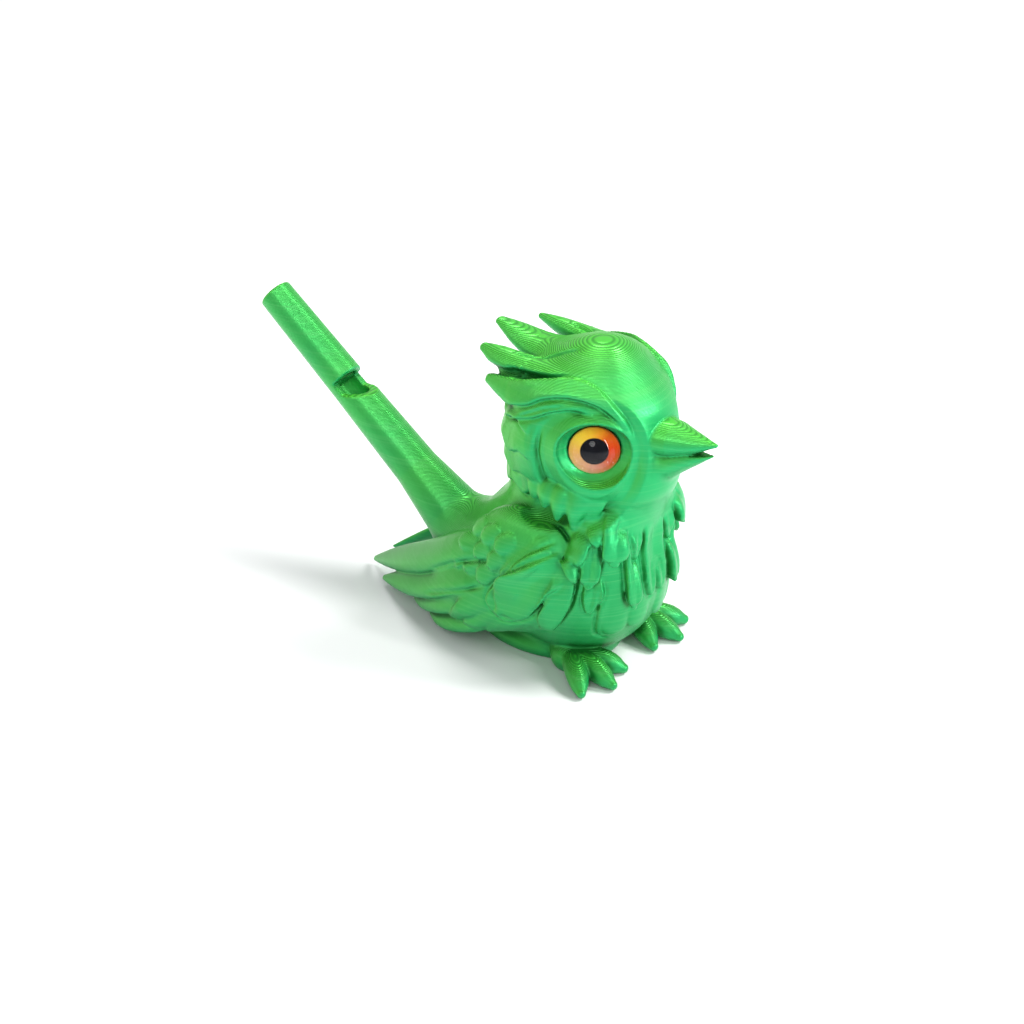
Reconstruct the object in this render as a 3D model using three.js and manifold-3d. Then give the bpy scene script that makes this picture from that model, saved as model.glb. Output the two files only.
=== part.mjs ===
// A bird-shaped water whistle: blow into the tail, and the air warbles through the water in the body.
// Millimetres, +Z up, beak towards +X, the bird's left towards +Y, feet on z = 0.
import * as THREE from "three";
import { mergeVertices } from "three/addons/utils/BufferGeometryUtils.js";
import Module from "manifold-3d";

const wasm = await Module();
wasm.setup();

// ---- Driving dimensions -------------------------------------------------------------------

const GAP = 0.3; // clearance between neighbouring pieces
const WALL = 2.4; // printed wall around the water chamber

// Body: the breast and the rump are two balls, both cut flat by the ground plane.
const BREAST_X = -2;
const BREAST_HEIGHT = 20.5;
const BREAST_RADII = [19, 19.5, 22];
const RUMP_SETBACK = 15;
const RUMP_HEIGHT = 13.5;
const RUMP_RADII = [18, 13.5, 13.8];

// Neck and head.
const NECK_SPLIT_DROP = 12; // below the head's centre
const NECK_FORWARD = 2.5;
const NECK_RADII = [15.5, 14.5, 10];
const NECK_BORE_RADIUS = 4.2;
const AIRWAY_RADIUS = 2.2; // from the neck's bore to the mouth
const HEAD_FORWARD = 3;
const HEAD_RISE = 32.5;
const HEAD_RADII = [17.5, 17.3, 16.5];

// Eyes: a glass dome over a printed iris disc, on a glue pad, in a socket in a shallow dish.
const EYE_RADIUS = 5;
const EYE_DOME_HEIGHT = 3.4;
const EYE_RISE = -0.6; // from the middle of the head
const EYE_TURN = 54; // degrees from straight ahead
const EYE_INSET = 0.2; // how far the dome's top stays inside the head's outline
const IRIS_THICKNESS = 0.5;
const PAD_THICKNESS = 1.2;
const PAD_MARGIN = 0.4;
const DISH_RADIUS = 11;
const DISH_DEPTH = 3;

// Beak.
const BEAK_LENGTH = 10.9;
const BEAK_HALF_WIDTH = 5;
const UPPER_BEAK_HALF_HEIGHT = 4.6;
const LOWER_BEAK_HALF_HEIGHT = 3.4;
const BEAK_RISE = -0.4;
const BEAK_TIP_LIFT = 2.4;
const MOUTH_OPENING = 1.4;
const LOWER_BEAK_SETBACK = 0.7;
const BEAK_ROOT_DEPTH = 6;

// Whistle tube: the tail. It leans back from the rump and is blown from its far end.
const TUBE_LENGTH = 72;
const TUBE_RISE_ANGLE = 37; // degrees above level
const TUBE_ROOT_RADIUS = 9.5;
const TUBE_THROAT_RADIUS = 4.9;
const TUBE_THROAT_AT = 50;
const TUBE_MOUTH_RADIUS = 3.8;
const TUBE_WALL = 1.2;
const TUBE_ROOT_SETBACK = 11.4; // behind the rump's centre
const TUBE_ROOT_DROP = 0.6; // below the rump's centre
const WINDOW_AT = 25;
const WINDOW_LENGTH = 3;
const WINDOW_DEPTH = 3.6;
const LABIUM_LENGTH = 5;
const WINDWAY_HEIGHT = 1.2;
const MOUTH_RECESS = 0.6;

// Wings.
const SHOULDER_RADII = [13.5, 8, 14];
const COVERT_RADII = [15, 8, 10];
const COVERT_PITCH = -24; // degrees, tail end down
const PRIMARY_COUNT = 4;
const PRIMARY_HALF_WIDTH = 3.6;
const PRIMARY_HALF_THICKNESS = 2.5;
const WING_TIP_X = -56.4;
const WING_TIP_SPREAD = 3.6;
const WING_TIP_HEIGHT = 1.2;
const WING_TIP_STEP = 7.5;
const WING_TIP_FAN = 3.6;

// Feet.
const TOE_COUNT = 3;
const TOE_RADIUS = 2.5;
const FOOT_X = 3.6;
const FOOT_SPREAD = 10.4;
const TOE_REACH = 11.2;
const TOE_FAN = 35; // degrees between toes

// Feather locks of the crest and ruff.
const RUFF_FEATHERS = 7;
const TUFT_FEATHERS = 3;
const RUFF_HALF_WIDTH = 3.6;
const RUFF_HALF_THICKNESS = 1.7;
const RUFF_LIFT = 1.1;
const NAPE_FEATHERS = 5;
const NAPE_HALF_WIDTH = 6;
const NAPE_HALF_THICKNESS = 1.9;
const NAPE_LENGTH = 17;
const NAPE_LIFT = 1.6;

// ---- Materials ----------------------------------------------------------------------------

const silkPlastic = (name, colour) =>
  new THREE.MeshStandardMaterial({ name, color: colour, roughness: 0.32, metalness: 0.1 });

const silkGreen = silkPlastic("silk_green", 0x2fc85a);
const silkLime = silkPlastic("silk_lime", 0x63d352);
const silkEmerald = silkPlastic("silk_emerald", 0x18b866);
const clearGlass = new THREE.MeshStandardMaterial({
  name: "clear_glass", color: 0xf4f7f5, roughness: 0.03, metalness: 0, transparent: true, opacity: 0.35,
});
const printedIris = new THREE.MeshStandardMaterial({
  name: "printed_iris", color: 0xf08a2a, roughness: 0.4, metalness: 0,
});
const gluePad = new THREE.MeshStandardMaterial({ name: "glue_pad", color: 0xe9e4d4, roughness: 0.7, metalness: 0 });

// ---- Solids -------------------------------------------------------------------------------

const vec = (x, y, z) => new THREE.Vector3(x, y, z);
const radians = THREE.MathUtils.degToRad;

/** A manifold solid from a three.js geometry, with its shared vertices merged. */
function solidOf(geometry, matrix = new THREE.Matrix4()) {
  const bare = geometry.clone();
  bare.deleteAttribute("normal");
  bare.deleteAttribute("uv");
  bare.applyMatrix4(matrix);
  const merged = mergeVertices(bare, 1e-4);
  return new wasm.Manifold(new wasm.Mesh({
    numProp: 3,
    vertProperties: new Float32Array(merged.attributes.position.array),
    triVerts: new Uint32Array(merged.index.array),
  }));
}

/** A three.js geometry from a manifold solid. */
function geometryOf(solid) {
  const mesh = solid.getMesh();
  const geometry = new THREE.BufferGeometry();
  geometry.setAttribute("position", new THREE.BufferAttribute(new Float32Array(mesh.vertProperties), 3));
  geometry.setIndex(new THREE.BufferAttribute(new Uint32Array(mesh.triVerts), 1));
  return geometry;
}

const joined = (solids) => solids.reduce((sum, solid) => sum.add(solid));
const without = (solid, ...cuts) => cuts.reduce((rest, cut) => rest.subtract(cut), solid);

/** An ellipsoid with its poles on Z, tipped nose-down by pitch degrees. */
function ball(centre, radii, extra = 0, pitch = 0, columns = 22, rows = 12) {
  const matrix = new THREE.Matrix4().makeTranslation(centre.x, centre.y, centre.z)
    .multiply(new THREE.Matrix4().makeRotationY(radians(pitch)))
    .multiply(new THREE.Matrix4().makeScale(...radii.map((radius) => radius + extra)))
    .multiply(new THREE.Matrix4().makeRotationX(Math.PI / 2));
  return solidOf(new THREE.SphereGeometry(1, columns, rows), matrix);
}

/** A round bar from one point to another. */
function bar(from, to, radius, sides = 20) {
  const along = to.clone().sub(from);
  const turn = new THREE.Quaternion().setFromUnitVectors(vec(0, 1, 0), along.clone().normalize());
  const middle = from.clone().add(to).multiplyScalar(0.5);
  const matrix = new THREE.Matrix4().compose(middle, turn, vec(1, 1, 1));
  return solidOf(new THREE.CylinderGeometry(radius, radius, along.length(), sides), matrix);
}

/** A box from its lowest to its highest corner. */
function block(low, high, matrix = new THREE.Matrix4()) {
  const size = high.clone().sub(low);
  const middle = low.clone().add(high).multiplyScalar(0.5);
  const place = matrix.clone().multiply(new THREE.Matrix4().makeTranslation(middle.x, middle.y, middle.z));
  return solidOf(new THREE.BoxGeometry(size.x, size.y, size.z), place);
}

/**
 * A tapered lock, like a feather or a claw: a ball drawn out along a curve, blunt at its root and
 * pointed at its tip. Its flat side looks towards face. extra thickens it all over.
 */
function lock({ points, halfWidth, halfThickness, face, taper = 0.6, sides = 9, rings = 8 }, extra = 0) {
  const curve = new THREE.CatmullRomCurve3(points);
  const geometry = new THREE.SphereGeometry(1, sides, rings);
  const position = geometry.attributes.position;
  for (let i = 0; i < position.count; i += 1) {
    const point = vec(0, 0, 0).fromBufferAttribute(position, i);
    const along = (1 - point.y) / 2;
    const ring = Math.hypot(point.x, point.z);
    const swell = Math.sqrt(Math.min(1, along * 5)) * Math.pow(Math.max(0, 1 - along), taper);
    const tangent = curve.getTangent(along);
    const side = face.clone().cross(tangent).normalize();
    const lift = tangent.clone().cross(side);
    const across = ring > 1e-6 ? point.x / ring : 0;
    const up = ring > 1e-6 ? point.z / ring : 0;
    const placed = curve.getPoint(along)
      .addScaledVector(side, across * (swell * halfWidth + ring * extra))
      .addScaledVector(lift, up * (swell * halfThickness + ring * extra))
      .addScaledVector(tangent, -point.y * extra);
    position.setXYZ(i, placed.x, placed.y, placed.z);
  }
  return solidOf(geometry);
}

const CRUMB_VOLUME = 1.5; // cubic millimetres
const FAR = 200; // beyond the object in every direction
const below = (height) => block(vec(-FAR, -FAR, -FAR), vec(FAR, FAR, height));
const above = (height) => block(vec(-FAR, -FAR, height), vec(FAR, FAR, FAR));

// ---- The bird's outline, shared by every piece that lies on it ------------------------------

const breastCentre = vec(BREAST_X, 0, BREAST_HEIGHT);
const rumpCentre = vec(BREAST_X - RUMP_SETBACK, 0, RUMP_HEIGHT);
const headCentre = vec(BREAST_X + HEAD_FORWARD, 0, BREAST_HEIGHT + HEAD_RISE);
const neckSplit = headCentre.z - NECK_SPLIT_DROP;
const neckCentre = vec(BREAST_X + NECK_FORWARD, 0, neckSplit + 1);

const breastForm = (extra) => ball(breastCentre, BREAST_RADII, extra);
const rumpForm = (extra) => ball(rumpCentre, RUMP_RADII, extra);
const headForm = (extra) => ball(headCentre, HEAD_RADII, extra);
const neckForm = (extra) => ball(neckCentre, NECK_RADII, extra);
const birdForm = (extra) => joined([breastForm(extra), rumpForm(extra), neckForm(extra), headForm(extra)]);

const birdSolid = birdForm(0);
const birdClearance = birdForm(GAP);
const ground = below(0);

// ---- Whistle tube ---------------------------------------------------------------------------

// Local tube frame: z runs from the mouth end to the body, x points out of the window.
const tubeAngle = radians(TUBE_RISE_ANGLE);
const tubeRoot = rumpCentre.clone().add(vec(-TUBE_ROOT_SETBACK, 0, -TUBE_ROOT_DROP));
const tubeAxis = vec(Math.cos(tubeAngle), 0, -Math.sin(tubeAngle));
const tubeUp = vec(Math.sin(tubeAngle), 0, Math.cos(tubeAngle));
const mouthEnd = tubeRoot.clone().addScaledVector(tubeAxis, -TUBE_LENGTH);
const tubeFrame = new THREE.Matrix4().makeBasis(tubeUp, tubeAxis.clone().cross(tubeUp), tubeAxis)
  .setPosition(mouthEnd);
const alongTube = (distance) => mouthEnd.clone().addScaledVector(tubeAxis, distance);
const boreRadius = TUBE_MOUTH_RADIUS - TUBE_WALL;
const boreEnd = alongTube(TUBE_LENGTH + RUMP_RADII[0]);

/** A turned solid about the tube's axis, from [radius, distance] points. */
function turned(profile) {
  const points = profile.map(([radius, distance]) => new THREE.Vector2(radius, distance));
  const upright = new THREE.Matrix4().makeRotationX(Math.PI / 2);
  return solidOf(new THREE.LatheGeometry(points, 32), tubeFrame.clone().multiply(upright));
}

/** The tube's outside: a slow cone that flares where it grows out of the rump. */
function tubeForm(extra) {
  return turned([
    [0, -extra],
    [TUBE_MOUTH_RADIUS + extra, -extra],
    [TUBE_THROAT_RADIUS + extra, TUBE_THROAT_AT],
    [TUBE_ROOT_RADIUS + extra, TUBE_LENGTH + extra],
    [0, TUBE_LENGTH + extra],
  ]);
}

/** The window's cut: square on the mouth side, a ramp that ends in the labium on the body side. */
function windowCut() {
  const floor = TUBE_MOUTH_RADIUS - WINDOW_DEPTH;
  const outside = TUBE_THROAT_RADIUS + 1;
  const shape = new THREE.Shape([
    new THREE.Vector2(floor, WINDOW_AT),
    new THREE.Vector2(floor, WINDOW_AT + WINDOW_LENGTH),
    new THREE.Vector2(outside, WINDOW_AT + WINDOW_LENGTH + LABIUM_LENGTH),
    new THREE.Vector2(outside, WINDOW_AT),
  ]);
  const width = 4 * TUBE_MOUTH_RADIUS;
  const geometry = new THREE.ExtrudeGeometry(shape, { depth: width, bevelEnabled: false });
  const layDown = new THREE.Matrix4().makeRotationX(Math.PI / 2);
  const centred = new THREE.Matrix4().makeTranslation(0, width / 2, 0);
  return solidOf(geometry, tubeFrame.clone().multiply(centred).multiply(layDown));
}

function whistleTube() {
  const bore = bar(alongTube(-1), boreEnd, boreRadius);
  return without(tubeForm(0), bore, windowCut(), birdClearance);
}

/** The block that leaves a flat windway between itself and the top of the bore. */
function fippleBlock() {
  const round = bar(alongTube(MOUTH_RECESS), alongTube(WINDOW_AT), boreRadius - GAP);
  const flat = boreRadius - GAP - WINDWAY_HEIGHT;
  return without(round, block(vec(flat, -FAR, -FAR), vec(FAR, FAR, FAR), tubeFrame));
}

// ---- Body and head --------------------------------------------------------------------------

const neckBore = (low, high) => bar(vec(neckCentre.x, 0, low), vec(neckCentre.x, 0, high), NECK_BORE_RADIUS);

function bodyShell() {
  const breastHollow = breastForm(-WALL).intersect(below(neckSplit - WALL));
  const chamber = breastHollow.add(rumpForm(-WALL)).intersect(above(WALL));
  const port = bar(alongTube(TUBE_LENGTH - RUMP_RADII[0]), rumpCentre, boreRadius);
  const outside = birdSolid.intersect(below(neckSplit));
  return without(outside, ground, chamber, port, neckBore(BREAST_HEIGHT, neckSplit + 1));
}

const beakRootX = headCentre.x + HEAD_RADII[0] - BEAK_ROOT_DEPTH;
const beakTipX = headCentre.x + HEAD_RADII[0] + BEAK_LENGTH;
const beakHeight = headCentre.z + BEAK_RISE;

function headShell() {
  const top = neckBore(neckSplit - 1, beakHeight);
  const airway = bar(vec(neckCentre.x, 0, beakHeight), vec(beakTipX, 0, beakHeight), AIRWAY_RADIUS);
  const outside = birdSolid.intersect(above(neckSplit + GAP));
  const eyeCuts = [-1, 1].flatMap((side) => [eyeDish(side), eyeSocket(side)]);
  return without(outside, top, airway, ...eyeCuts);
}

// ---- Beak -----------------------------------------------------------------------------------

const beakLine = (tipX, rise) => [
  vec(beakRootX, 0, beakHeight + rise),
  vec((beakRootX + tipX) / 2, 0, beakHeight + rise),
  vec(tipX, 0, beakHeight + rise + (rise > 0 ? BEAK_TIP_LIFT : 0)),
];

function upperBeak() {
  const whole = lock({
    points: beakLine(beakTipX, MOUTH_OPENING / 2), halfWidth: BEAK_HALF_WIDTH,
    halfThickness: UPPER_BEAK_HALF_HEIGHT, face: vec(0, 0, 1), taper: 0.8, sides: 16, rings: 10,
  });
  return without(whole.intersect(above(beakHeight + GAP / 2)), birdClearance);
}

function lowerBeak() {
  const whole = lock({
    points: beakLine(beakTipX - LOWER_BEAK_SETBACK, -MOUTH_OPENING / 2), halfWidth: BEAK_HALF_WIDTH - GAP,
    halfThickness: LOWER_BEAK_HALF_HEIGHT, face: vec(0, 0, 1), taper: 0.8, sides: 16, rings: 10,
  });
  const mouth = lock({
    points: beakLine(beakTipX + MOUTH_OPENING, 0), halfWidth: BEAK_HALF_WIDTH - WALL,
    halfThickness: MOUTH_OPENING, face: vec(0, 0, 1), taper: 0.2, sides: 16, rings: 10,
  });
  return without(whole.intersect(below(beakHeight - GAP / 2)), birdClearance, mouth);
}

// ---- Eyes -----------------------------------------------------------------------------------

const eyeHeading = (side) => vec(Math.cos(radians(EYE_TURN)), side * Math.sin(radians(EYE_TURN)), 0);
const eyeAxisPoint = (side, distance) => headCentre.clone()
  .addScaledVector(eyeHeading(side), distance)
  .add(vec(0, 0, EYE_RISE));
const eyeBase = HEAD_RADII[1] - EYE_INSET - EYE_DOME_HEIGHT;
const irisBack = eyeBase - GAP - IRIS_THICKNESS;
const padBack = irisBack - GAP - PAD_THICKNESS;

const eyeDish = (side) => ball(
  eyeAxisPoint(side, HEAD_RADII[1] - DISH_DEPTH + DISH_RADIUS),
  [DISH_RADIUS, DISH_RADIUS, DISH_RADIUS], 0, 0, 24, 16,
);
const eyeSocket = (side) => bar(eyeAxisPoint(side, padBack - GAP), eyeAxisPoint(side, FAR), EYE_RADIUS + GAP, 32);

/** A dome with its flat side on the iris. */
function eyeDome(side) {
  const sphereRadius = (EYE_RADIUS ** 2 + EYE_DOME_HEIGHT ** 2) / (2 * EYE_DOME_HEIGHT);
  const sphereCentre = eyeAxisPoint(side, eyeBase + EYE_DOME_HEIGHT - sphereRadius);
  const whole = ball(sphereCentre, [sphereRadius, sphereRadius, sphereRadius], 0, 0, 30, 20);
  const slot = bar(eyeAxisPoint(side, eyeBase), eyeAxisPoint(side, FAR), EYE_RADIUS, 32);
  return whole.intersect(slot);
}

const irisDisc = (side) => bar(eyeAxisPoint(side, irisBack), eyeAxisPoint(side, eyeBase - GAP), EYE_RADIUS, 32);
const eyePad = (side) =>
  bar(eyeAxisPoint(side, padBack), eyeAxisPoint(side, irisBack - GAP), EYE_RADIUS - PAD_MARGIN, 24);

// ---- Crest ----------------------------------------------------------------------------------

// Each lock sweeps back over the head: root, middle and tip from the head's centre, as seen on the
// bird's left. The centre lock lies on the crown, and the others come in left and right pairs.
const CREST_LOCKS = [
  { name: "centre", points: [[4, 0, 13.6], [-10, 0, 13.8], [-24.8, 0, 14.1]], width: 5.6, face: [0, 0, 1] },
  { name: "upper", points: [[4, 7.8, 11.2], [-9, 9, 11.8], [-21.2, 9, 12.5]], width: 4.6, face: [0, 0.5, 1] },
  { name: "brow", points: [[13.5, 8.2, 5.2], [3, 13, 9], [-16.5, 13, 7.9]], width: 4.2, face: [0, 0.8, 0.8] },
  { name: "temple", points: [[2, 15.8, 5], [-8, 14.6, 4.4], [-18, 10.6, 7]], width: 3.6, face: [0, 1, 0.3] },
];
const CREST_HALF_THICKNESS = 2.6;

const mirrored = (side, [x, y, z]) => vec(x, side * y, z);

function crestForm(spec, side, extra) {
  return lock({
    points: spec.points.map((point) => mirrored(side, point).add(headCentre)),
    halfWidth: spec.width, halfThickness: CREST_HALF_THICKNESS, face: mirrored(side, spec.face),
  }, extra);
}

/** Every crest lock in turn, each cut clear of the locks before it. */
function crestPieces() {
  const laid = [];
  const pieces = [];
  for (const spec of CREST_LOCKS) {
    for (const side of spec.name === "centre" ? [1] : [-1, 1]) {
      const clear = without(crestForm(spec, side, 0), birdClearance, eyeDish(side), ...laid);
      pieces.push({ name: `crest_${spec.name}${sideSuffix(spec.name === "centre" ? 0 : side)}`, solid: clear });
      laid.push(crestForm(spec, side, GAP));
    }
  }
  return pieces;
}

// ---- Ruff, nape and tufts -------------------------------------------------------------------

/** A feather that hangs down the breast at a heading (degrees), from one height to another. */
function breastFeather(heading, top, bottom, halfWidth, lift, extra = 0) {
  const turn = radians(heading);
  const outward = vec(Math.cos(turn), Math.sin(turn), 0);
  const onBreast = (height) => {
    const fall = Math.sqrt(Math.max(0.1, 1 - ((height - BREAST_HEIGHT) / BREAST_RADII[2]) ** 2));
    return vec(
      BREAST_X + BREAST_RADII[0] * fall * outward.x + lift * outward.x,
      BREAST_RADII[1] * fall * outward.y + lift * outward.y,
      height,
    );
  };
  return lock({
    points: [onBreast(top), onBreast((top + bottom) / 2), onBreast(bottom)],
    halfWidth, halfThickness: RUFF_HALF_THICKNESS, face: outward, taper: 0.45,
  }, extra);
}

function ruffForm(extra) {
  const feathers = [];
  for (let i = 0; i < RUFF_FEATHERS; i += 1) {
    const heading = (i - (RUFF_FEATHERS - 1) / 2) * 14;
    feathers.push(breastFeather(heading, 39, i % 2 ? 17 : 21, RUFF_HALF_WIDTH, RUFF_LIFT, extra));
  }
  return joined(feathers);
}

function tuftForm(side, extra) {
  const feathers = [];
  for (let i = 0; i < TUFT_FEATHERS; i += 1) {
    feathers.push(breastFeather(side * (54 + i * 12), 39, 24 + 3 * i, RUFF_HALF_WIDTH, RUFF_LIFT, extra));
  }
  return joined(feathers);
}

/** Broad feathers that hang from the back of the head, clear above the neck split. */
function napeForm(extra) {
  const feathers = Array.from({ length: NAPE_FEATHERS }, (_, index) => {
    const turn = radians(180 + (index - (NAPE_FEATHERS - 1) / 2) * 34);
    const outward = vec(Math.cos(turn), Math.sin(turn), 0);
    const at = (reach, height) => vec(headCentre.x, 0, height).addScaledVector(outward, reach);
    const top = headCentre.z + NAPE_LENGTH / 3;
    return lock({
      points: [
        at(HEAD_RADII[0] - NAPE_HALF_THICKNESS, top),
        at(HEAD_RADII[0], top - NAPE_LENGTH / 2),
        at(HEAD_RADII[0] - NAPE_HALF_THICKNESS, top - NAPE_LENGTH),
      ],
      halfWidth: NAPE_HALF_WIDTH, halfThickness: NAPE_HALF_THICKNESS, face: outward, taper: 0.35,
    }, extra);
  });
  const bandCentre = headCentre.clone().add(vec(-NAPE_LIFT, 0, -2 * NAPE_LIFT));
  const behind = block(vec(-FAR, -FAR, -FAR), vec(headCentre.x - NAPE_LIFT, FAR, headCentre.z));
  return joined([ball(bandCentre, HEAD_RADII, extra).intersect(behind), ...feathers]);
}

function napeRuff() {
  const crest = CREST_LOCKS.flatMap((spec) => [-1, 1].map((side) => crestForm(spec, side, GAP)));
  return without(napeForm(0), birdClearance, below(neckSplit + GAP), ...crest);
}

const ruffClearance = ruffForm(GAP);
const breastRuff = () => without(ruffForm(0), birdClearance, above(neckSplit));
const sideTuft = (side) => without(tuftForm(side, 0), birdClearance, ruffClearance);

// ---- Wings ----------------------------------------------------------------------------------

const wingSpread = BREAST_RADII[1] - SHOULDER_RADII[1] / 2 - 1;
const shoulderCentre = (side) => vec(BREAST_X - 3, side * wingSpread, BREAST_HEIGHT + 2);
const covertCentre = (side) => vec(BREAST_X - 12, side * wingSpread, BREAST_HEIGHT - 8);

const covertsForm = (side, extra) => joined([
  ball(shoulderCentre(side), SHOULDER_RADII, extra, 0, 18, 11),
  ball(covertCentre(side), COVERT_RADII, extra, COVERT_PITCH, 18, 11),
]);

/** One long flight feather; the first is the longest and closest to the bird's middle. */
function primaryForm(side, index, extra) {
  const share = index / (PRIMARY_COUNT - 1);
  const root = covertCentre(side).add(vec(0, 0, COVERT_RADII[2] * (0.9 - 1.3 * share)));
  const tip = vec(
    WING_TIP_X + WING_TIP_STEP * index,
    side * (WING_TIP_SPREAD + WING_TIP_FAN * index),
    WING_TIP_HEIGHT,
  );
  const bend = root.clone().lerp(tip, 0.5).add(vec(0, side * PRIMARY_HALF_THICKNESS, 0));
  return lock({
    points: [root, bend, tip], halfWidth: PRIMARY_HALF_WIDTH, halfThickness: PRIMARY_HALF_THICKNESS,
    face: vec(-0.3, side * 0.8, 0.6), rings: 10,
  }, extra);
}

const tubeClearance = tubeForm(GAP);
const wingCoverts = (side) =>
  without(covertsForm(side, 0), birdClearance, ground, tubeClearance, ruffClearance, tuftForm(side, GAP));

function primaries(side) {
  const laid = [];
  return Array.from({ length: PRIMARY_COUNT }, (_, index) => {
    const clear = without(
      primaryForm(side, index, 0), birdClearance, ground, tubeClearance, covertsForm(side, GAP), ...laid,
    );
    laid.push(primaryForm(side, index, GAP));
    return clear;
  });
}

// ---- Feet -----------------------------------------------------------------------------------

function footForm(side) {
  const ankle = vec(FOOT_X, side * FOOT_SPREAD, TOE_RADIUS);
  const pad = ball(ankle, [2 * TOE_RADIUS, 1.6 * TOE_RADIUS, 1.5 * TOE_RADIUS], 0, 0, 16, 10);
  const toes = Array.from({ length: TOE_COUNT }, (_, index) => {
    const turn = radians((index - (TOE_COUNT - 1) / 2) * TOE_FAN) + side * radians(4);
    const reach = (distance, height) =>
      vec(ankle.x + distance * Math.cos(turn), ankle.y + distance * Math.sin(turn), height);
    return lock({
      points: [reach(0, TOE_RADIUS), reach(TOE_REACH * 0.6, TOE_RADIUS), reach(TOE_REACH, TOE_RADIUS / 3)],
      halfWidth: TOE_RADIUS, halfThickness: TOE_RADIUS, face: vec(0, 0, 1), taper: 0.5,
    });
  });
  return joined([pad, ...toes]);
}

const foot = (side) => without(footForm(side), ground, birdClearance);

// ---- Assembly -------------------------------------------------------------------------------

function sideSuffix(side) {
  if (side === 0) {
    return "";
  }
  return side < 0 ? "_right" : "_left";
}

const group = new THREE.Group();

/** Adds one named piece, without the crumbs that a cut can leave beside it. */
function addPiece(name, solid, material) {
  const bodies = solid.decompose().filter((body) => body.volume() > CRUMB_VOLUME);
  const mesh = new THREE.Mesh(geometryOf(joined(bodies)), material);
  mesh.name = name;
  group.add(mesh);
}

addPiece("body_shell", bodyShell(), silkGreen);
addPiece("head_shell", headShell(), silkEmerald);
addPiece("upper_beak", upperBeak(), silkEmerald);
addPiece("lower_beak", lowerBeak(), silkEmerald);
addPiece("whistle_tube", whistleTube(), silkLime);
addPiece("fipple_block", fippleBlock(), silkLime);
addPiece("breast_ruff", breastRuff(), silkEmerald);
addPiece("nape_ruff", napeRuff(), silkGreen);
crestPieces().forEach(({ name, solid }) => addPiece(name, solid, silkLime));

for (const side of [-1, 1]) {
  const suffix = sideSuffix(side);
  addPiece(`side_tuft${suffix}`, sideTuft(side), silkEmerald);
  addPiece(`wing_coverts${suffix}`, wingCoverts(side), silkGreen);
  primaries(side).forEach((solid, index) => addPiece(`primary_${index + 1}${suffix}`, solid, silkLime));
  addPiece(`foot${suffix}`, foot(side), silkGreen);
  addPiece(`eye_dome${suffix}`, eyeDome(side), clearGlass);
  addPiece(`iris_disc${suffix}`, irisDisc(side), printedIris);
  addPiece(`eye_pad${suffix}`, eyePad(side), gluePad);
}

// The origin sits under the middle of the whole object's box.
const box = new THREE.Box3().setFromObject(group);
const middle = box.getCenter(vec(0, 0, 0));
group.position.set(-middle.x, -middle.y, -box.min.z);

export default group;
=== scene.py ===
"""A bird water whistle, printed in one piece from green silk filament, with two glued glass eyes.

The print is modelled as one block of signed distances, as a sculptor presses clay: every form and
feather is pressed on in turn. Its skin is then divided along the creases into the model's own pieces.
"""

import math

import bpy
import numpy as np
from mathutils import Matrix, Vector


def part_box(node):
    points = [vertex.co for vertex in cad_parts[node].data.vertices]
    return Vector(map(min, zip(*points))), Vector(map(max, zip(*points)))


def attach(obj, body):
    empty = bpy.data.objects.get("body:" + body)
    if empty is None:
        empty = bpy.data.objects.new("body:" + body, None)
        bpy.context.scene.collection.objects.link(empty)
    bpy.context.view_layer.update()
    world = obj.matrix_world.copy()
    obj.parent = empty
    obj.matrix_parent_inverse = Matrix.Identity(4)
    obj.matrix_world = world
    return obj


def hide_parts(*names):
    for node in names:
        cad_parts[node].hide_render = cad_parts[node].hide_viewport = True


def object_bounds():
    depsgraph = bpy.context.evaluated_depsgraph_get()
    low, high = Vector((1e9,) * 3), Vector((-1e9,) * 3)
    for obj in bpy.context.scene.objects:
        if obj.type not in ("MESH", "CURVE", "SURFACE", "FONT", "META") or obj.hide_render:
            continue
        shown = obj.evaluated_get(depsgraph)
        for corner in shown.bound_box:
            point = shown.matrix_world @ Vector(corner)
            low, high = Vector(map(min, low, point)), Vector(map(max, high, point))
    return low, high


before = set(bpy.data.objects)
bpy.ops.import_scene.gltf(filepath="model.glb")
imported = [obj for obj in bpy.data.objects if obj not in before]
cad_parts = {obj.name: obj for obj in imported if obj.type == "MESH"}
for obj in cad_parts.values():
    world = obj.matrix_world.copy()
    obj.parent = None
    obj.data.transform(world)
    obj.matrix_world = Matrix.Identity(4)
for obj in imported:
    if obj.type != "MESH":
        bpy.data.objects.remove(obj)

import openvdb
from mathutils import Vector

bl_info = {
    "name": "Bird water whistle",
    "version": (1, 0, 0),
    "blender": (4, 5, 0),
    "location": "3D View > Sidebar > Whistle",
    "description": "Models a printed bird water whistle around its packed frame",
    "category": "Add Mesh",
}

CAD_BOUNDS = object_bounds()
MM = 0.001
SIDES = ("right", "left")

# Sizes of the whistle and the eyes, in millimetres. Distances along the tube start at its mouth.
TUBE_MOUTH_RADIUS = 3.8
TUBE_END = 76
BORE_RADIUS = 2.6
BORE_LENGTH = 44
WINDOW_AT = 25.0
EDGE_AT = 28.0
EYE_RADIUS = 5.0
DOME_RISE = 3.4


def box_mm(node):
    """A node's lowest and highest corners, in millimetres."""
    low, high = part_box(node)
    return np.array(low) / MM, np.array(high) / MM


# ---- Places taken from the frame --------------------------------------------------------------

_head_low, _head_high = box_mm("head_shell")
_body_low, _body_high = box_mm("body_shell")
_tube_low, _tube_high = box_mm("whistle_tube")

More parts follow.
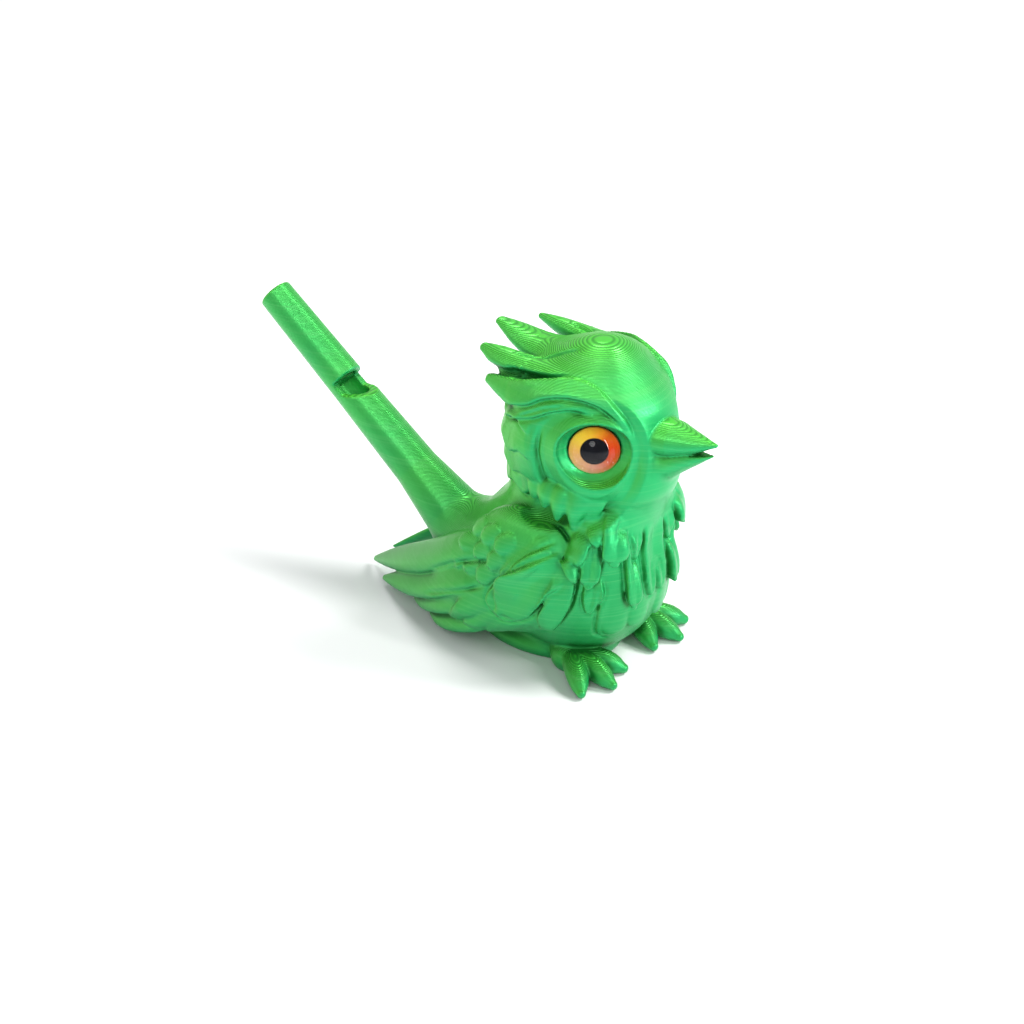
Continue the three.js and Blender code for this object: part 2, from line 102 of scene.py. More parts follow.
HEAD = np.array([_head_low[0] + 17.5, 0.0, _head_high[2] - 16.5])
BREAST = np.array([_body_high[0] - 19.0, 0.0, _body_high[2] - 20.5])
RUMP = np.array([_body_low[0] + 18.0, 0.0, _body_high[2] - 27.5])
TUBE_LEAN = math.radians(37)
TUBE_AXIS = np.array([math.cos(TUBE_LEAN), 0.0, -math.sin(TUBE_LEAN)])
TUBE_UP = np.array([math.sin(TUBE_LEAN), 0.0, math.cos(TUBE_LEAN)])
TUBE_MOUTH = np.array([
    _tube_low[0] + TUBE_MOUTH_RADIUS * TUBE_UP[0], 0.0, _tube_high[2] - TUBE_MOUTH_RADIUS * TUBE_UP[2],
])


def eye_axis(side):
    """The middle of an eye's printed disc and the way that the eye looks."""
    disc = sum(box_mm(f"iris_disc_{side}")) / 2
    pad = sum(box_mm(f"eye_pad_{side}")) / 2
    look = disc - pad
    return disc, look / np.linalg.norm(look)


# ---- Clay: a block of signed distances --------------------------------------------------------

def unit(vectors):
    """Rows of vectors, each scaled to a length of one."""
    return vectors / np.linalg.norm(vectors, axis=1, keepdims=True)


def smooth_least(a, b, blend):
    """The lesser of two distances, with a soft join."""
    share = np.clip(0.5 + 0.5 * (b - a) / blend, 0, 1)
    return b + (a - b) * share - blend * share * (1 - share)


class Clay:
    """The right half of the bird, as distances on a grid. Below zero is inside."""

    def __init__(self, low, high, pitch):
        self.low = np.array(low, float)
        self.pitch = pitch
        counts = np.ceil((np.array(high) - self.low) / pitch).astype(int) + 1
        self.low[1] = -(counts[1] - 1) * pitch
        self.axes = [self.low[i] + pitch * np.arange(counts[i]) for i in range(3)]
        self.body = np.full(counts, 9.0, np.float32)
        self.owner = np.zeros(counts, np.uint8)
        self.names = []

    def index_of(self, name):
        if name not in self.names:
            self.names.append(name)
        return self.names.index(name)

    def window(self, low, high):
        """The part of the grid between two corners, and its coordinates."""
        spans, lines = [], []
        for i in range(3):
            first = max(0, int((low[i] - self.low[i]) / self.pitch))
            last = min(self.body.shape[i], int((high[i] - self.low[i]) / self.pitch) + 2)
            spans.append(slice(first, max(first, last)))
            lines.append(self.axes[i][spans[i]].astype(np.float32))
        return tuple(spans), np.meshgrid(*lines, indexing="ij", sparse=True)

    def press(self, name, distance, low, high, blend):
        """Add a form to the clay with a soft join, and give its skin to a piece."""
        spans, (x, y, z) = self.window(low, high)
        if 0 in self.body[spans].shape:
            return
        new = distance(x, y, z).astype(np.float32)
        old = self.body[spans]
        self.owner[spans] = np.where(new < old, self.index_of(name), self.owner[spans])
        self.body[spans] = smooth_least(old, new, blend)

    def carve(self, distance, low, high, blend):
        """Take a form out of the clay with a soft edge."""
        spans, (x, y, z) = self.window(low, high)
        if 0 in self.body[spans].shape:
            return
        new = distance(x, y, z).astype(np.float32)
        self.body[spans] = -smooth_least(-self.body[spans], new, blend)

    def sink(self, depth, low, high):
        """Lower the skin by a depth that varies from place to place."""
        spans, (x, y, z) = self.window(low, high)
        self.body[spans] += depth(x, y, z).astype(np.float32)

    def claim(self, name, distance, low, high):
        """Give the skin inside a form to a piece and leave its shape alone."""
        spans, (x, y, z) = self.window(low, high)
        self.owner[spans] = np.where(distance(x, y, z) < 0, self.index_of(name), self.owner[spans])

    def step(self, points, side, height, fade, crease):
        """Raise the skin along one side of a line, as where one feather lies over the next.

        The raised side is to the left of the line for side 1 and to its right for side -1,
        seen from outside. It sinks back over the fade distance, and the crease is cut along its foot.
        """
        path = self.settle(spline(self.settle(points), 28), rounds=3)
        length = np.linalg.norm(np.diff(path, axis=0), axis=1).sum()
        path = even_out(spline(path, int(length / 0.4) + 8), 5)
        faces = unit(even_out(self.outward(path, reach=1.5), 9))
        along = unit(np.gradient(path, axis=0))
        left = unit(np.cross(faces, along) * side)
        reach = fade + 1.0
        spans, (x, y, z) = self.window(path.min(axis=0) - reach, path.max(axis=0) + reach)
        body = self.body[spans]
        shape = np.broadcast_shapes(x.shape, y.shape, z.shape)
        near = np.abs(body) < 3.0
        spots = np.stack([np.broadcast_to(a, shape)[near] for a in (x, y, z)], axis=1)
        best = np.full(len(spots), 1e9)
        place = np.zeros(len(spots), int)
        for i, point in enumerate(path):
            gap = ((spots - point) ** 2).sum(axis=1)
            closer = gap < best
            best[closer], place[closer] = gap[closer], i
        rest = spots - path[place]
        rest -= (rest * faces[place]).sum(axis=1, keepdims=True) * faces[place]
        across = (rest * left[place]).sum(axis=1)
        beyond = np.abs((rest * along[place]).sum(axis=1))
        away = np.sqrt(across ** 2 + beyond ** 2)
        last = len(path) - 1
        taper = np.interp(place / last, [0, 0.14, 0.86, 1], [0.2, 1, 1, 0.2])
        taper *= np.where((place == 0) | (place == last), np.clip(1 - beyond / 0.8, 0, 1), 1)
        shoulder = np.clip(across / 0.45 + 0.5, 0, 1)
        fall = np.clip(1 - away / fade, 0, 1)
        lift = height * shoulder * fall * fall * (3 - 2 * fall)
        lift = lift - crease * np.exp(-(across + 0.35) ** 2 / 0.25)
        body[near] -= (lift * taper).astype(np.float32)

    def sample(self, points):
        """The distance at each point, from its eight neighbours."""
        place = (np.asarray(points, float).copy() - self.low) / self.pitch
        place = np.clip(place, 0, np.array(self.body.shape) - 1.001)
        base = place.astype(int)
        part = place - base
        total = 0
        for corner in range(8):
            step = np.array([corner & 1, corner >> 1 & 1, corner >> 2 & 1])
            share = np.prod(np.where(step, part, 1 - part), axis=-1)
            at = base + step
            total = total + share * self.body[at[..., 0], at[..., 1], at[..., 2]]
        return total

    def outward(self, points, reach=0.7):
        """The skin's direction at each point."""
        points = np.asarray(points, float)
        slope = np.stack([
            self.sample(points + reach * way) - self.sample(points - reach * way) for way in np.eye(3)
        ], axis=-1)
        return slope / np.maximum(np.linalg.norm(slope, axis=-1, keepdims=True), 1e-6)

    def settle(self, points, rounds=6):
        """Move points along the skin's direction until they lie on the skin."""
        points = np.asarray(points, float).copy()
        for _ in range(rounds):
            points = points - self.sample(points)[..., None] * self.outward(points)
        return points


def ball(centre, radii, pitch=0.0):
    """Distance to an ellipsoid that is tipped nose-down by pitch degrees."""
    turn = math.radians(pitch)
    cos, sin = math.cos(turn), math.sin(turn)

    def distance(x, y, z):
        x, y, z = x - centre[0], y - centre[1], z - centre[2]
        x, z = x * cos - z * sin, x * sin + z * cos
        near = np.sqrt((x / radii[0]) ** 2 + (y / radii[1]) ** 2 + (z / radii[2]) ** 2)
        steep = np.sqrt((x / radii[0] ** 2) ** 2 + (y / radii[1] ** 2) ** 2 + (z / radii[2] ** 2) ** 2)
        return near * (near - 1) / np.maximum(steep, 1e-4)

    return distance


def spline(points, count):
    """Points evenly spread on a smooth curve through the given ones."""
    points = np.asarray(points, float)
    ends = np.vstack([2 * points[0] - points[1], points, 2 * points[-1] - points[-2]])
    path = []
    for i in range(1, len(ends) - 2):
        for t in np.linspace(0, 1, 24, endpoint=False):
            a, b, c, d = ends[i - 1:i + 3]
            path.append(0.5 * (2 * b + (c - a) * t + (2 * a - 5 * b + 4 * c - d) * t * t
                               + (3 * b - a - 3 * c + d) * t ** 3))
    path = np.array(path + [points[-1]])
    length = np.concatenate([[0], np.cumsum(np.linalg.norm(np.diff(path, axis=0), axis=1))])
    even = np.linspace(0, length[-1], count)
    return np.stack([np.interp(even, length, path[:, i]) for i in range(3)], axis=1)


def even_out(values, count):
    """Running mean along a line, which keeps its ends."""
    padded = np.concatenate([np.repeat(values[:1], count // 2, axis=0), values,
                             np.repeat(values[-1:], count // 2, axis=0)])
    total = np.cumsum(np.concatenate([np.zeros((1, values.shape[1])), padded]), axis=0)
    return (total[count:] - total[:-count]) / count


def leaf_outline(t, fullest, point, blunt):
    """A feather's width along its length: a round root, a full middle and a tip."""
    root = np.sqrt(np.clip(1 - (1 - np.clip(t / 0.3, 0, 1)) ** 2, 0, 1))
    tip = np.clip((t - fullest) / (1 - fullest), 0, 1)
    return np.maximum(root * np.clip(1 - tip ** point, 0, 1) ** blunt, 0.1)


class Lock:
    """A feather or lock: an ellipse swept along a curve, with a width and a thickness at each place."""

    STEPS = 15

    def __init__(self, path, faces, widths, heights, tilt=0.0):
        self.path = np.asarray(path, float)
        self.widths = np.asarray(widths, float)
        self.heights = np.asarray(heights, float)
        self.along = unit(np.gradient(self.path, axis=0))
        self.side = unit(np.cross(self.along, faces))
        self.up = np.cross(self.side, self.along)
        if tilt:
            cos, sin = math.cos(math.radians(tilt)), math.sin(math.radians(tilt))
            self.side, self.up = self.side * cos + self.up * sin, self.up * cos - self.side * sin

    def bounds(self, margin):
        reach = max(self.widths.max(), self.heights.max()) + margin
        return self.path.min(axis=0) - reach, self.path.max(axis=0) + reach

    def __call__(self, x, y, z):
        shape = np.broadcast_shapes(x.shape, y.shape, z.shape)
        points = np.stack([np.broadcast_to(a, shape).ravel() for a in (x, y, z)], axis=1)
        best = np.full(len(points), 1e9)
        place = np.zeros(len(points))
        for i in range(len(self.path) - 1):
            step = self.path[i + 1] - self.path[i]
            t = np.clip((points - self.path[i]) @ step / (step @ step), 0, 1)
            gap = ((points - self.path[i] - t[:, None] * step) ** 2).sum(axis=1)
            closer = gap < best
            best[closer] = gap[closer]
            place[closer] = i + t[closer]
        line = np.arange(len(self.path))

        def at(values):
            return np.stack([np.interp(place, line, values[:, i]) for i in range(3)], axis=1)

        rest = points - at(self.path)
        across = (rest * at(self.side)).sum(axis=1)
        above = (rest * at(self.up)).sum(axis=1)
        beyond = (rest * at(self.along)).sum(axis=1)
        width = np.interp(place, line, self.widths)
        height = np.interp(place, line, self.heights)
        end = np.minimum(width, height)
        near = np.sqrt((across / width) ** 2 + (above / height) ** 2 + (beyond / end) ** 2)
        steep = (across / width ** 2) ** 2 + (above / height ** 2) ** 2 + (beyond / end ** 2) ** 2
        steep = np.sqrt(steep)
        return (near * (near - 1) / np.maximum(steep, 1e-4)).reshape(shape)


def press_lock(clay, name, points, width, height, face, profile, blend, tilt=0.0):
    """A free-standing lock through points, whose flat side looks towards face."""
    path = spline(points, Lock.STEPS)
    t = np.linspace(0, 1, Lock.STEPS)
    share = np.interp(t, np.linspace(0, 1, len(profile)), profile)
    faces = np.broadcast_to(np.asarray(face, float), path.shape)
    lock = Lock(path, faces, width * share, height * share, tilt)
    clay.press(name, lock, *lock.bounds(1.5 + blend), blend)


def press_feather(clay, name, points, width, height, lift, blend, tilt=0.0, **outline):
    """A feather that lies on the skin: its points settle on the skin, and its tip stands off it."""
    path = spline(clay.settle(points), Lock.STEPS)
    path = clay.settle(path, rounds=3)
    faces = clay.outward(path, reach=1.2)
    t = np.linspace(0, 1, Lock.STEPS)
    path = path + faces * np.interp(t, [0, 0.3, 1], [lift[0], lift[0], lift[1]])[:, None]
    share = leaf_outline(t, **outline)
    lock = Lock(path, faces, width * share, height * np.sqrt(share), tilt)
    clay.press(name, lock, *lock.bounds(1.2 + blend), blend)


def lay_steps(origin, steps):
    """Feather edges on the skin: each has its points, raised side, height, fade and crease."""
    for points, side, height, fade, crease in steps:
        clay().step([origin + np.array(place) for place in points], side, height, fade, crease)


_clay = []


def clay():
    """The block that every form is pressed on."""
    if not _clay:
        pitch = bpy.context.scene.whistle.detail / MM
        low = np.array(CAD_BOUNDS[0]) / MM - 2.5
        high = np.array(CAD_BOUNDS[1]) / MM + 2.5
        _clay.append(Clay(low, (high[0], 0.0, high[2]), pitch * (1)))
    return _clay[0]


# ---- The forms and feathers of the bird ---------------------------------------------------------

def from_head(*places):
    """Points, from their places off the middle of the head."""
    return [HEAD + np.array(place) for place in places]


def from_breast(*places):
    """Points, from their places off the middle of the breast."""
    return [BREAST + np.array(place) for place in places]


def span_of(centre, radii, margin=3.0):
    """Two corners with a ball between them."""
    reach = np.max(radii) + margin
    return np.array(centre) - reach, np.array(centre) + reach


def press_ball(name, centre, radii, blend, pitch=0.0):
    """Press an ellipsoid on the clay."""
    clay().press(name, ball(centre, radii, pitch), *span_of(centre, radii, 3.0 + blend), blend)


class Sculptor(bpy.types.Operator):
    """Shared by the operators that press a part of the bird"""

    bl_idname = "whistle.sculptor"
    bl_label = "Sculptor"

    def execute(self, context):
        self.press()
        return {"FINISHED"}


class WHISTLE_OT_body(Sculptor):
    """Press the rounded body: breast, rump and neck"""

    bl_idname = "whistle.body"
    bl_label = "Body"

    def press(self):
        press_ball("body_shell", BREAST + (0.2, 0, 0.7), (18.6, 18.2, 21.0), 1.0)
        press_ball("body_shell", RUMP, (18.0, 13.2, 13.6), 5.0)
        press_ball("body_shell", RUMP + (7.0, 0, 9.0), (13.0, 11.0, 12.0), 6.0)
        press_ball("body_shell", BREAST + (5.0, 0, 16.5), (13.6, 10.6, 11.0), 4.0)
        press_ball("body_shell", BREAST + (-3.4, 0, 19.5), (12.0, 10.2, 13.0), 4.0)
        # The belly rests on a low pad between the feet.
        press_ball("body_shell", BREAST + (-8.0, 0, -19.0), (17.0, 12.0, 5.0), 2.0)


class WHISTLE_OT_head(Sculptor):
    """Press the head, its throat, cheeks and crown, and the nape behind them"""

    bl_idname = "whistle.head"
    bl_label = "Head"

    def press(self):
        press_ball("head_shell", HEAD, (17.5, 17.2, 16.4), 2.6)
        press_ball("head_shell", HEAD + (-2.2, 0, -3.6), (15.8, 15.6, 13.4), 3.0)
        press_ball("nape_ruff", HEAD + (-7.4, 0, -9.0), (10.2, 11.5, 12.5), 3.0)
        # The throat under the beak, the cheek and the crown.
        press_ball("head_shell", HEAD + (6.6, 0, -8.4), (12.0, 11.4, 9.0), 4.0)
        press_ball("head_shell", HEAD + (5.0, -6.4, -7.6), (8.4, 8.2, 8.0), 3.0)
        press_ball("head_shell", HEAD + (2.6, 0, 11.4), (7.0, 8.0, 4.9), 4.0)


def eye_frame(centre, look):
    """Measures how far places lie ahead of an eye, across it and above it."""
    level = np.array([-look[1], look[0], 0.0])

    def measure(x, y, z):
        x, y, z = x - centre[0], y - centre[1], z - centre[2]
        return x * look[0] + y * look[1], x * level[0] + y * level[1], z

    return measure


# The rings of the facial disc lie closer together towards the beak.
FRONT_SQUEEZE = 1.3
RING_PLACES = (0, 7.0, 7.9, 8.6, 9.8, 11.2, 12.4, 13.6, 14.4)
RING_DEPTHS = (0.7, 0.7, 0.55, 0.85, 1.25, 1.15, 0.5, 0.0, 0.0)


class WHISTLE_OT_eye_sockets(Sculptor):
    """Sink the shallow rings of the wide facial disc round each eye"""

    bl_idname = "whistle.eye_sockets"
    bl_label = "Eye Sockets"

    def press(self):
        centre, look = eye_axis("right")
        measure = eye_frame(centre, look)

        def rings(x, y, z):
            ahead, across, z = measure(x, y, z)
            rise = np.where(z < 0, z * 0.86, z * 1.2) + 0 * across
            across = np.where(across > 0, across * FRONT_SQUEEZE, across)
            away = np.sqrt(across ** 2 + rise ** 2)
            depth = np.interp(away, RING_PLACES, RING_DEPTHS)
            return depth * np.clip((ahead + 6) / 3, 0, 1)

        reach = 16.0
        clay().sink(rings, centre - reach, centre + reach)


class WHISTLE_OT_eye_pockets(Sculptor):
    """Carve the deep bowl and the round pocket of each eye"""

    bl_idname = "whistle.eye_pockets"
    bl_label = "Eye Pockets"

    def press(self):
        centre, look = eye_axis("right")
        measure = eye_frame(centre, look)

        def bowl(x, y, z):
            ahead, across, z = measure(x, y, z)
            rise = np.where(z > 0, z * 1.22, z * 1.1)
            radius = np.interp(ahead, [-0.3, 0.1, 0.9, 1.7, 3.0, 6.0], [5.25, 5.9, 7.1, 7.6, 8.0, 9.0])
            wall = np.sqrt(across ** 2 + rise ** 2) - radius
            return np.maximum(wall * 0.8, -0.1 - ahead)

        clay().carve(bowl, centre - 10, centre + 10, 0.35)

        def pocket(x, y, z):
            ahead, across, z = measure(x, y, z)
            return np.maximum(np.sqrt(across ** 2 + z * z) - 5.2, -2.2 - ahead)

        clay().carve(pocket, centre - 9, centre + 9, 0.15)


def level_lock(places, widths, heights):
    """A lock through places off the middle of the head, whose flat side looks up."""
    path = spline(from_head(*places), Lock.STEPS)
    return Lock(path, np.broadcast_to([0.0, 0, 1], path.shape), widths, heights)


class WHISTLE_OT_beak(Sculptor):
    """Press the upper and lower beak and open the slit between them"""

    bl_idname = "whistle.beak"
    bl_label = "Beak"

    def press(self):
        shape = clay()
        t = np.linspace(0, 1, Lock.STEPS)
        cone = np.interp(t, [0, 0.25, 0.5, 0.8, 0.93, 1], [0.9, 1.0, 0.84, 0.42, 0.2, 0.1])
        under = level_lock(((9.0, 0, -6.4), (16.0, 0, -4.7), (22.4, 0, -2.0), (28.0, 0, 0.2)),
                           4.9 * cone, 3.9 * cone)
        shape.press("lower_beak", under, *under.bounds(3), 1.6)
        over = level_lock(((10.5, 0, 0.4), (16.5, 0, 0.9), (23.0, 0, 1.5), (28.7, 0, 2.5)),
                          5.4 * cone, 3.9 * cone)
        shape.press("upper_beak", over, *over.bounds(3), 0.3)
        gape = np.interp(t, [0, 0.3, 1], [0.12, 0.5, 1.15])
        slit = level_lock(((23.6, 0, -0.6), (26.0, 0, 0.1), (30.0, 0, 1.25)),
                          np.full(Lock.STEPS, 9.0), 0.62 * gape)
        shape.carve(slit, *slit.bounds(1), 0.12)


CREST_LOCKS = {
    "crest_centre": {
        "points": ((10, 0, 11.0), (-1, 0, 12.6), (-12, 0, 11.2), (-23.9, 0, 14.2)),
        "width": 6.4, "height": 3.2, "face": (0, 0, 1),
        "profile": (0.5, 0.85, 1, 1, 0.94, 0.84, 0.68, 0.5, 0.22),
    },
    "crest_upper_right": {
        "points": ((7.0, -6.0, 9.0), (0, -8.2, 10.6), (-9, -9.9, 10.6), (-20.6, -9.4, 12.7)),
        "width": 4.2, "height": 2.9, "face": (0, -0.5, 1),
        "profile": (0.3, 0.7, 0.95, 1, 0.97, 0.88, 0.74, 0.55, 0.25),
    },
}


BROW_STEPS = (
    # edges of the bands over the brow: points off the head, raised side, height, fade and crease
    (((-13.0, -9.7, 13.6), (-9.6, -8.8, 14.4), (-5.1, -7.4, 15.4), (0.5, -5.0, 16.0)), -1, 0.0, 2.0, 0.7),
    (((-12.6, -11.6, 11.2), (-9.0, -12.2, 11.5), (-3.4, -12.9, 12.6), (2.0, -11.0, 13.6)), -1, 0.0, 2.0, 0.8),
    (((-10.3, -14.1, 10.0), (-5.9, -14.1, 11.6), (-1.1, -12.8, 13.2), (2.7, -11.1, 13.6), (6.9, -9.7, 12.2),
      (9.8, -8.8, 9.8), (12.8, -7.8, 6.4), (14.5, -7.1, 3.0)), -1, 0.75, 5.0, 0.15),
    (((-12.0, -14.2, 5.2), (-5.2, -17.0, 7.0), (-1.6, -15.9, 9.2), (1.9, -14.8, 10.3), (4.5, -13.5, 10.3),
      (8.0, -12.0, 9.4), (10.6, -10.4, 7.8), (13.2, -8.2, 4.4)), 1, 0.7, 3.0, 0.45),
    (((-12.4, -14.0, 1.6), (-8.0, -16.4, 3.2), (-3.0, -17.0, 5.4), (1.2, -16.0, 7.0), (4.8, -14.4, 7.9),
      (8.6, -12.0, 7.2)), 1, 0.6, 2.6, 0.4),
    (((-7.5, -16.8, 4.6), (-3.5, -16.6, 6.6), (-0.5, -16.0, 8.0), (3.2, -14.6, 9.0)), 1, 0.35, 1.4, 0.3),
)


class WHISTLE_OT_crest(Sculptor):
    """Press the crest: thick locks that sweep back over the head to blunt points"""

    bl_idname = "whistle.crest"
    bl_label = "Crest"

    def press(self):
        shape = clay()
        t = np.linspace(0, 1, Lock.STEPS)
        band = spline(from_head((12.0, -9.6, 6.4), (6.5, -12.4, 9.4), (0.0, -15.4, 8.6), (-6.5, -16.6, 5.6),
                                (-12.4, -13.0, 3.4)), Lock.STEPS)
        reach = np.interp(t, [0, 0.3, 0.9, 1], [0.6, 1.7, 2.6, 1.6])
        patch = Lock(band, band - HEAD, reach, np.full(Lock.STEPS, 2.6))
        shape.claim("crest_temple_right", patch, *patch.bounds(1))
        brow = from_head((9, -9.4, 8.4), (2.0, -11.6, 9.6), (-7.0, -12.8, 8.6), (-16.6, -12.9, 8.3))
        press_lock(shape, "crest_brow_right", brow, 4.3, 2.7, (0.1, -0.8, 0.8), blend=0.7, tilt=6,
                   profile=(0.2, 0.55, 0.85, 1, 1, 0.94, 0.82, 0.62, 0.25))
        for name, spec in CREST_LOCKS.items():
            press_lock(shape, name, from_head(*spec["points"]), spec["width"], spec["height"],
                       spec["face"], blend=0.7, profile=spec["profile"])
        # The deep valley between the upper lock and the brow.
        valley = spline(from_head((-17.5, -12.4, 10.6), (-12.0, -12.8, 10.7), (-6.0, -13.0, 11.6),
                                  (-1.0, -12.8, 13.0)), Lock.STEPS)
        narrow = np.interp(t, [0, 0.3, 1], [1.0, 0.9, 0.3])
        gap = Lock(valley, np.broadcast_to([0.0, -0.8, 0.6], valley.shape), 0.8 * narrow, 2.4 * narrow)
        shape.carve(gap, *gap.bounds(1.5), 0.7)
        # A short tip behind the brow.
        tip = from_head((-6, -13.0, 6.4), (-11, -11.6, 8.2), (-16.2, -9.8, 10.2))
        press_lock(shape, "crest_brow_right", tip, 2.4, 2.0, (0, -0.7, 0.7), blend=0.4,
                   profile=(0.8, 1, 1, 0.7, 0.25))
        lay_steps(HEAD, BROW_STEPS)


NAPE_ROWS = ((2.0, 0.0), (-3.8, 0.5), (-9.6, 0.1), (-14.4, 0.6))  # height off the head, and shift of the wave
DISC_STEPS = (
    # the valley that bounds the facial disc
    (((-1.9, -17.0, 3.4), (-2.6, -17.2, -1.0), (-2.4, -16.8, -4.6), (-2.1, -15.8, -8.5), (-1.0, -14.8, -11.6),
      (0.6, -14.4, -13.6)), -1, 0.3, 2.0, 0.45),
)


class WHISTLE_OT_nape(Sculptor):
    """Press the broad overlapping feathers behind the cheeks"""

    bl_idname = "whistle.nape"
    bl_label = "Nape"

    def press(self):
        shape = clay()
        # Scalloped edges of the overlapping feathers, row by row down the nape.
        for height, shift in NAPE_ROWS:
            points = []
            for turn in np.linspace(104, 178, 12):
                wave = math.sin((turn / 14 + shift) * math.pi)
                way = np.array([math.cos(math.radians(turn)), -math.sin(math.radians(turn)), 0])
                points.append(HEAD + way * 15.5 + (0, 0, height + 0.8 * wave))
            shape.step(points, -1, 0.75, 4.6, 0.25)
        lay_steps(HEAD, DISC_STEPS)


CHEEK_FRINGE = (
    # tip of each feather from the head's centre, how wide it is and how thick
    ((-4.6, -14.0, -13.6), 2.6, 1.2), ((-1.4, -14.6, -14.4), 2.3, 1.3), ((1.8, -14.6, -16.2), 2.1, 1.4),
    ((5.2, -13.8, -17.2), 2.1, 1.3), ((8.2, -12.2, -15.2), 2.4, 0.6),
)


class WHISTLE_OT_cheeks(Sculptor):
    """Press the pointed feathers that hang below the cheeks"""

    bl_idname = "whistle.cheeks"
    bl_label = "Cheek Feathers"

    def press(self):
        shape = clay()
        # The dark hollow under the longest feathers.
        hollow, reach = BREAST + (1.8, -15.4, 17.0), (6.4, 4.4, 3.2)
        shape.carve(ball(hollow, reach), *span_of(hollow, reach), 0.5)
        for (x, y, z), width, height in CHEEK_FRINGE:
            root = (x * 0.86 + 1.6, y * 0.9, -9.0)
            middle = (x * 0.96 + 0.8, y * 0.985, (z - 9.0) / 2)
            press_lock(shape, "head_shell", from_head(root, middle, (x, y, z)), width, height,
                       (x + 4, y * 1.4, -2.0), blend=0.8, profile=(0.6, 1, 1, 0.97, 0.85, 0.62, 0.32))


RUFF_FEATHERS = (
    # root, middle and tip off the breast; half width; thickness; how far the tip stands off
    ((17.0, -4.4, 3.0), (18.0, -4.0, -3.0), (16.8, -3.6, -9.8), 2.6, 0.9, 0.3),
    ((16.6, -9.2, 2.0), (16.6, -9.4, -4.0), (15.0, -8.4, -10.4), 2.6, 0.9, 0.3),
    ((12.6, -11.6, 15.0), (12.4, -13.6, 9.6), (12.6, -14.4, 3.9), 2.3, 1.1, 0.8),
    ((15.6, -9.4, 18.5), (15.0, -9.8, 14.2), (14.9, -10.2, 9.4), 2.1, 1.2, 1.1),
    ((16.8, -7.6, 12.5), (17.6, -7.2, 6.0), (18.1, -6.8, -2.2), 1.7, 1.0, 0.7),
)
SIDE_TUFTS = (
    # root, middle and tip off the breast; how far the tip stands off
    ((10.0, -12.0, 18.6), (11.0, -14.2, 13.4), (11.2, -15.4, 7.4), 0.9),
    ((7.4, -13.0, 17.0), (9.2, -15.0, 11.0), (9.8, -16.2, 4.4), 0.7),
    ((13.4, -10.8, 19.6), (13.6, -12.4, 16.2), (13.4, -13.6, 12.6), 0.9),
)
RUFF_STEPS = (
    # around each hanging lobe; the side inside it is raised
    (((15.2, -13.0, 2.4), (14.5, -13.2, -4.1), (12.8, -11.4, -9.4), (13.4, -8.5, -10.9)), 1, 0.45, 2.4, 0.45),
    (((17.6, -3.0, 14.0), (18.6, -3.4, 7.0), (19.4, -3.4, 1.4), (19.4, -2.0, -2.2), (19.4, -0.6, -1.0),
      (19.4, -0.3, 4.0)), 1, 0.8, 3.4, 0.35),
    (((16.4, -8.4, 13.0), (17.0, -8.0, 8.1), (17.6, -8.1, 2.0), (17.9, -7.6, -2.4), (18.3, -6.2, -2.6),
      (18.6, -5.4, 2.0), (18.5, -5.2, 8.0)), 1, 1.0, 3.4, 0.4),
    (((16.8, -7.0, 13.2), (17.7, -6.6, 10.2), (18.3, -5.5, 7.4), (18.6, -4.2, 9.8), (18.2, -3.6, 13.0)),
     1, 0.8, 3.0, 0.3),
    (((11.6, -14.6, 3.6), (11.4, -14.6, -0.2), (12.0, -14.0, -3.4), (13.6, -13.4, -2.8), (14.9, -12.8, 1.0),
      (14.8, -12.4, 4.6)), 1, 0.9, 3.2, 0.4),
    (((11.2, -12.9, 15.1), (10.5, -13.9, 12.1), (10.8, -14.6, 8.6), (11.7, -14.8, 4.6), (13.4, -14.2, 3.4),
      (14.3, -12.8, 6.7), (14.4, -11.8, 10.4)), 1, 1.15, 4.0, 0.45),
    (((14.0, -11.2, 18.8), (13.3, -10.9, 14.8), (13.8, -10.9, 11.3), (15.0, -10.0, 9.2), (16.3, -8.8, 11.1),
      (16.7, -7.7, 14.6)), 1, 1.25, 4.0, 0.45),
)


class WHISTLE_OT_ruff(Sculptor):
    """Press the drooping feathers of the breast and the tufts at its sides"""

    bl_idname = "whistle.ruff"
    bl_label = "Breast Ruff"

    def press(self):
        shape = clay()
        # Full sides of the ruff, under the tufts.
        press_ball("breast_ruff", BREAST + (9.6, -6.6, 13.0), (7.6, 7.2, 8.0), 3.0)
        reach = (8.0, 17.0, 13.5)
        spot = BREAST + (16.8, 0, 3.4)
        shape.claim("breast_ruff", ball(spot, reach), *span_of(spot, reach))
        for root, middle, tip, width, height, lift in RUFF_FEATHERS:
            press_feather(shape, "breast_ruff", from_breast(root, middle, tip), width, height,
                          lift=(-0.9, lift), blend=0.4, fullest=0.75, point=2.4, blunt=0.6)
        lay_steps(BREAST, RUFF_STEPS)
        for root, middle, tip, lift in SIDE_TUFTS:
            press_feather(shape, "side_tuft_right", from_breast(root, middle, tip), 2.2, 1.1,
                          lift=(-0.9, lift), tilt=4, blend=0.4, fullest=0.6, point=2.2, blunt=0.6)


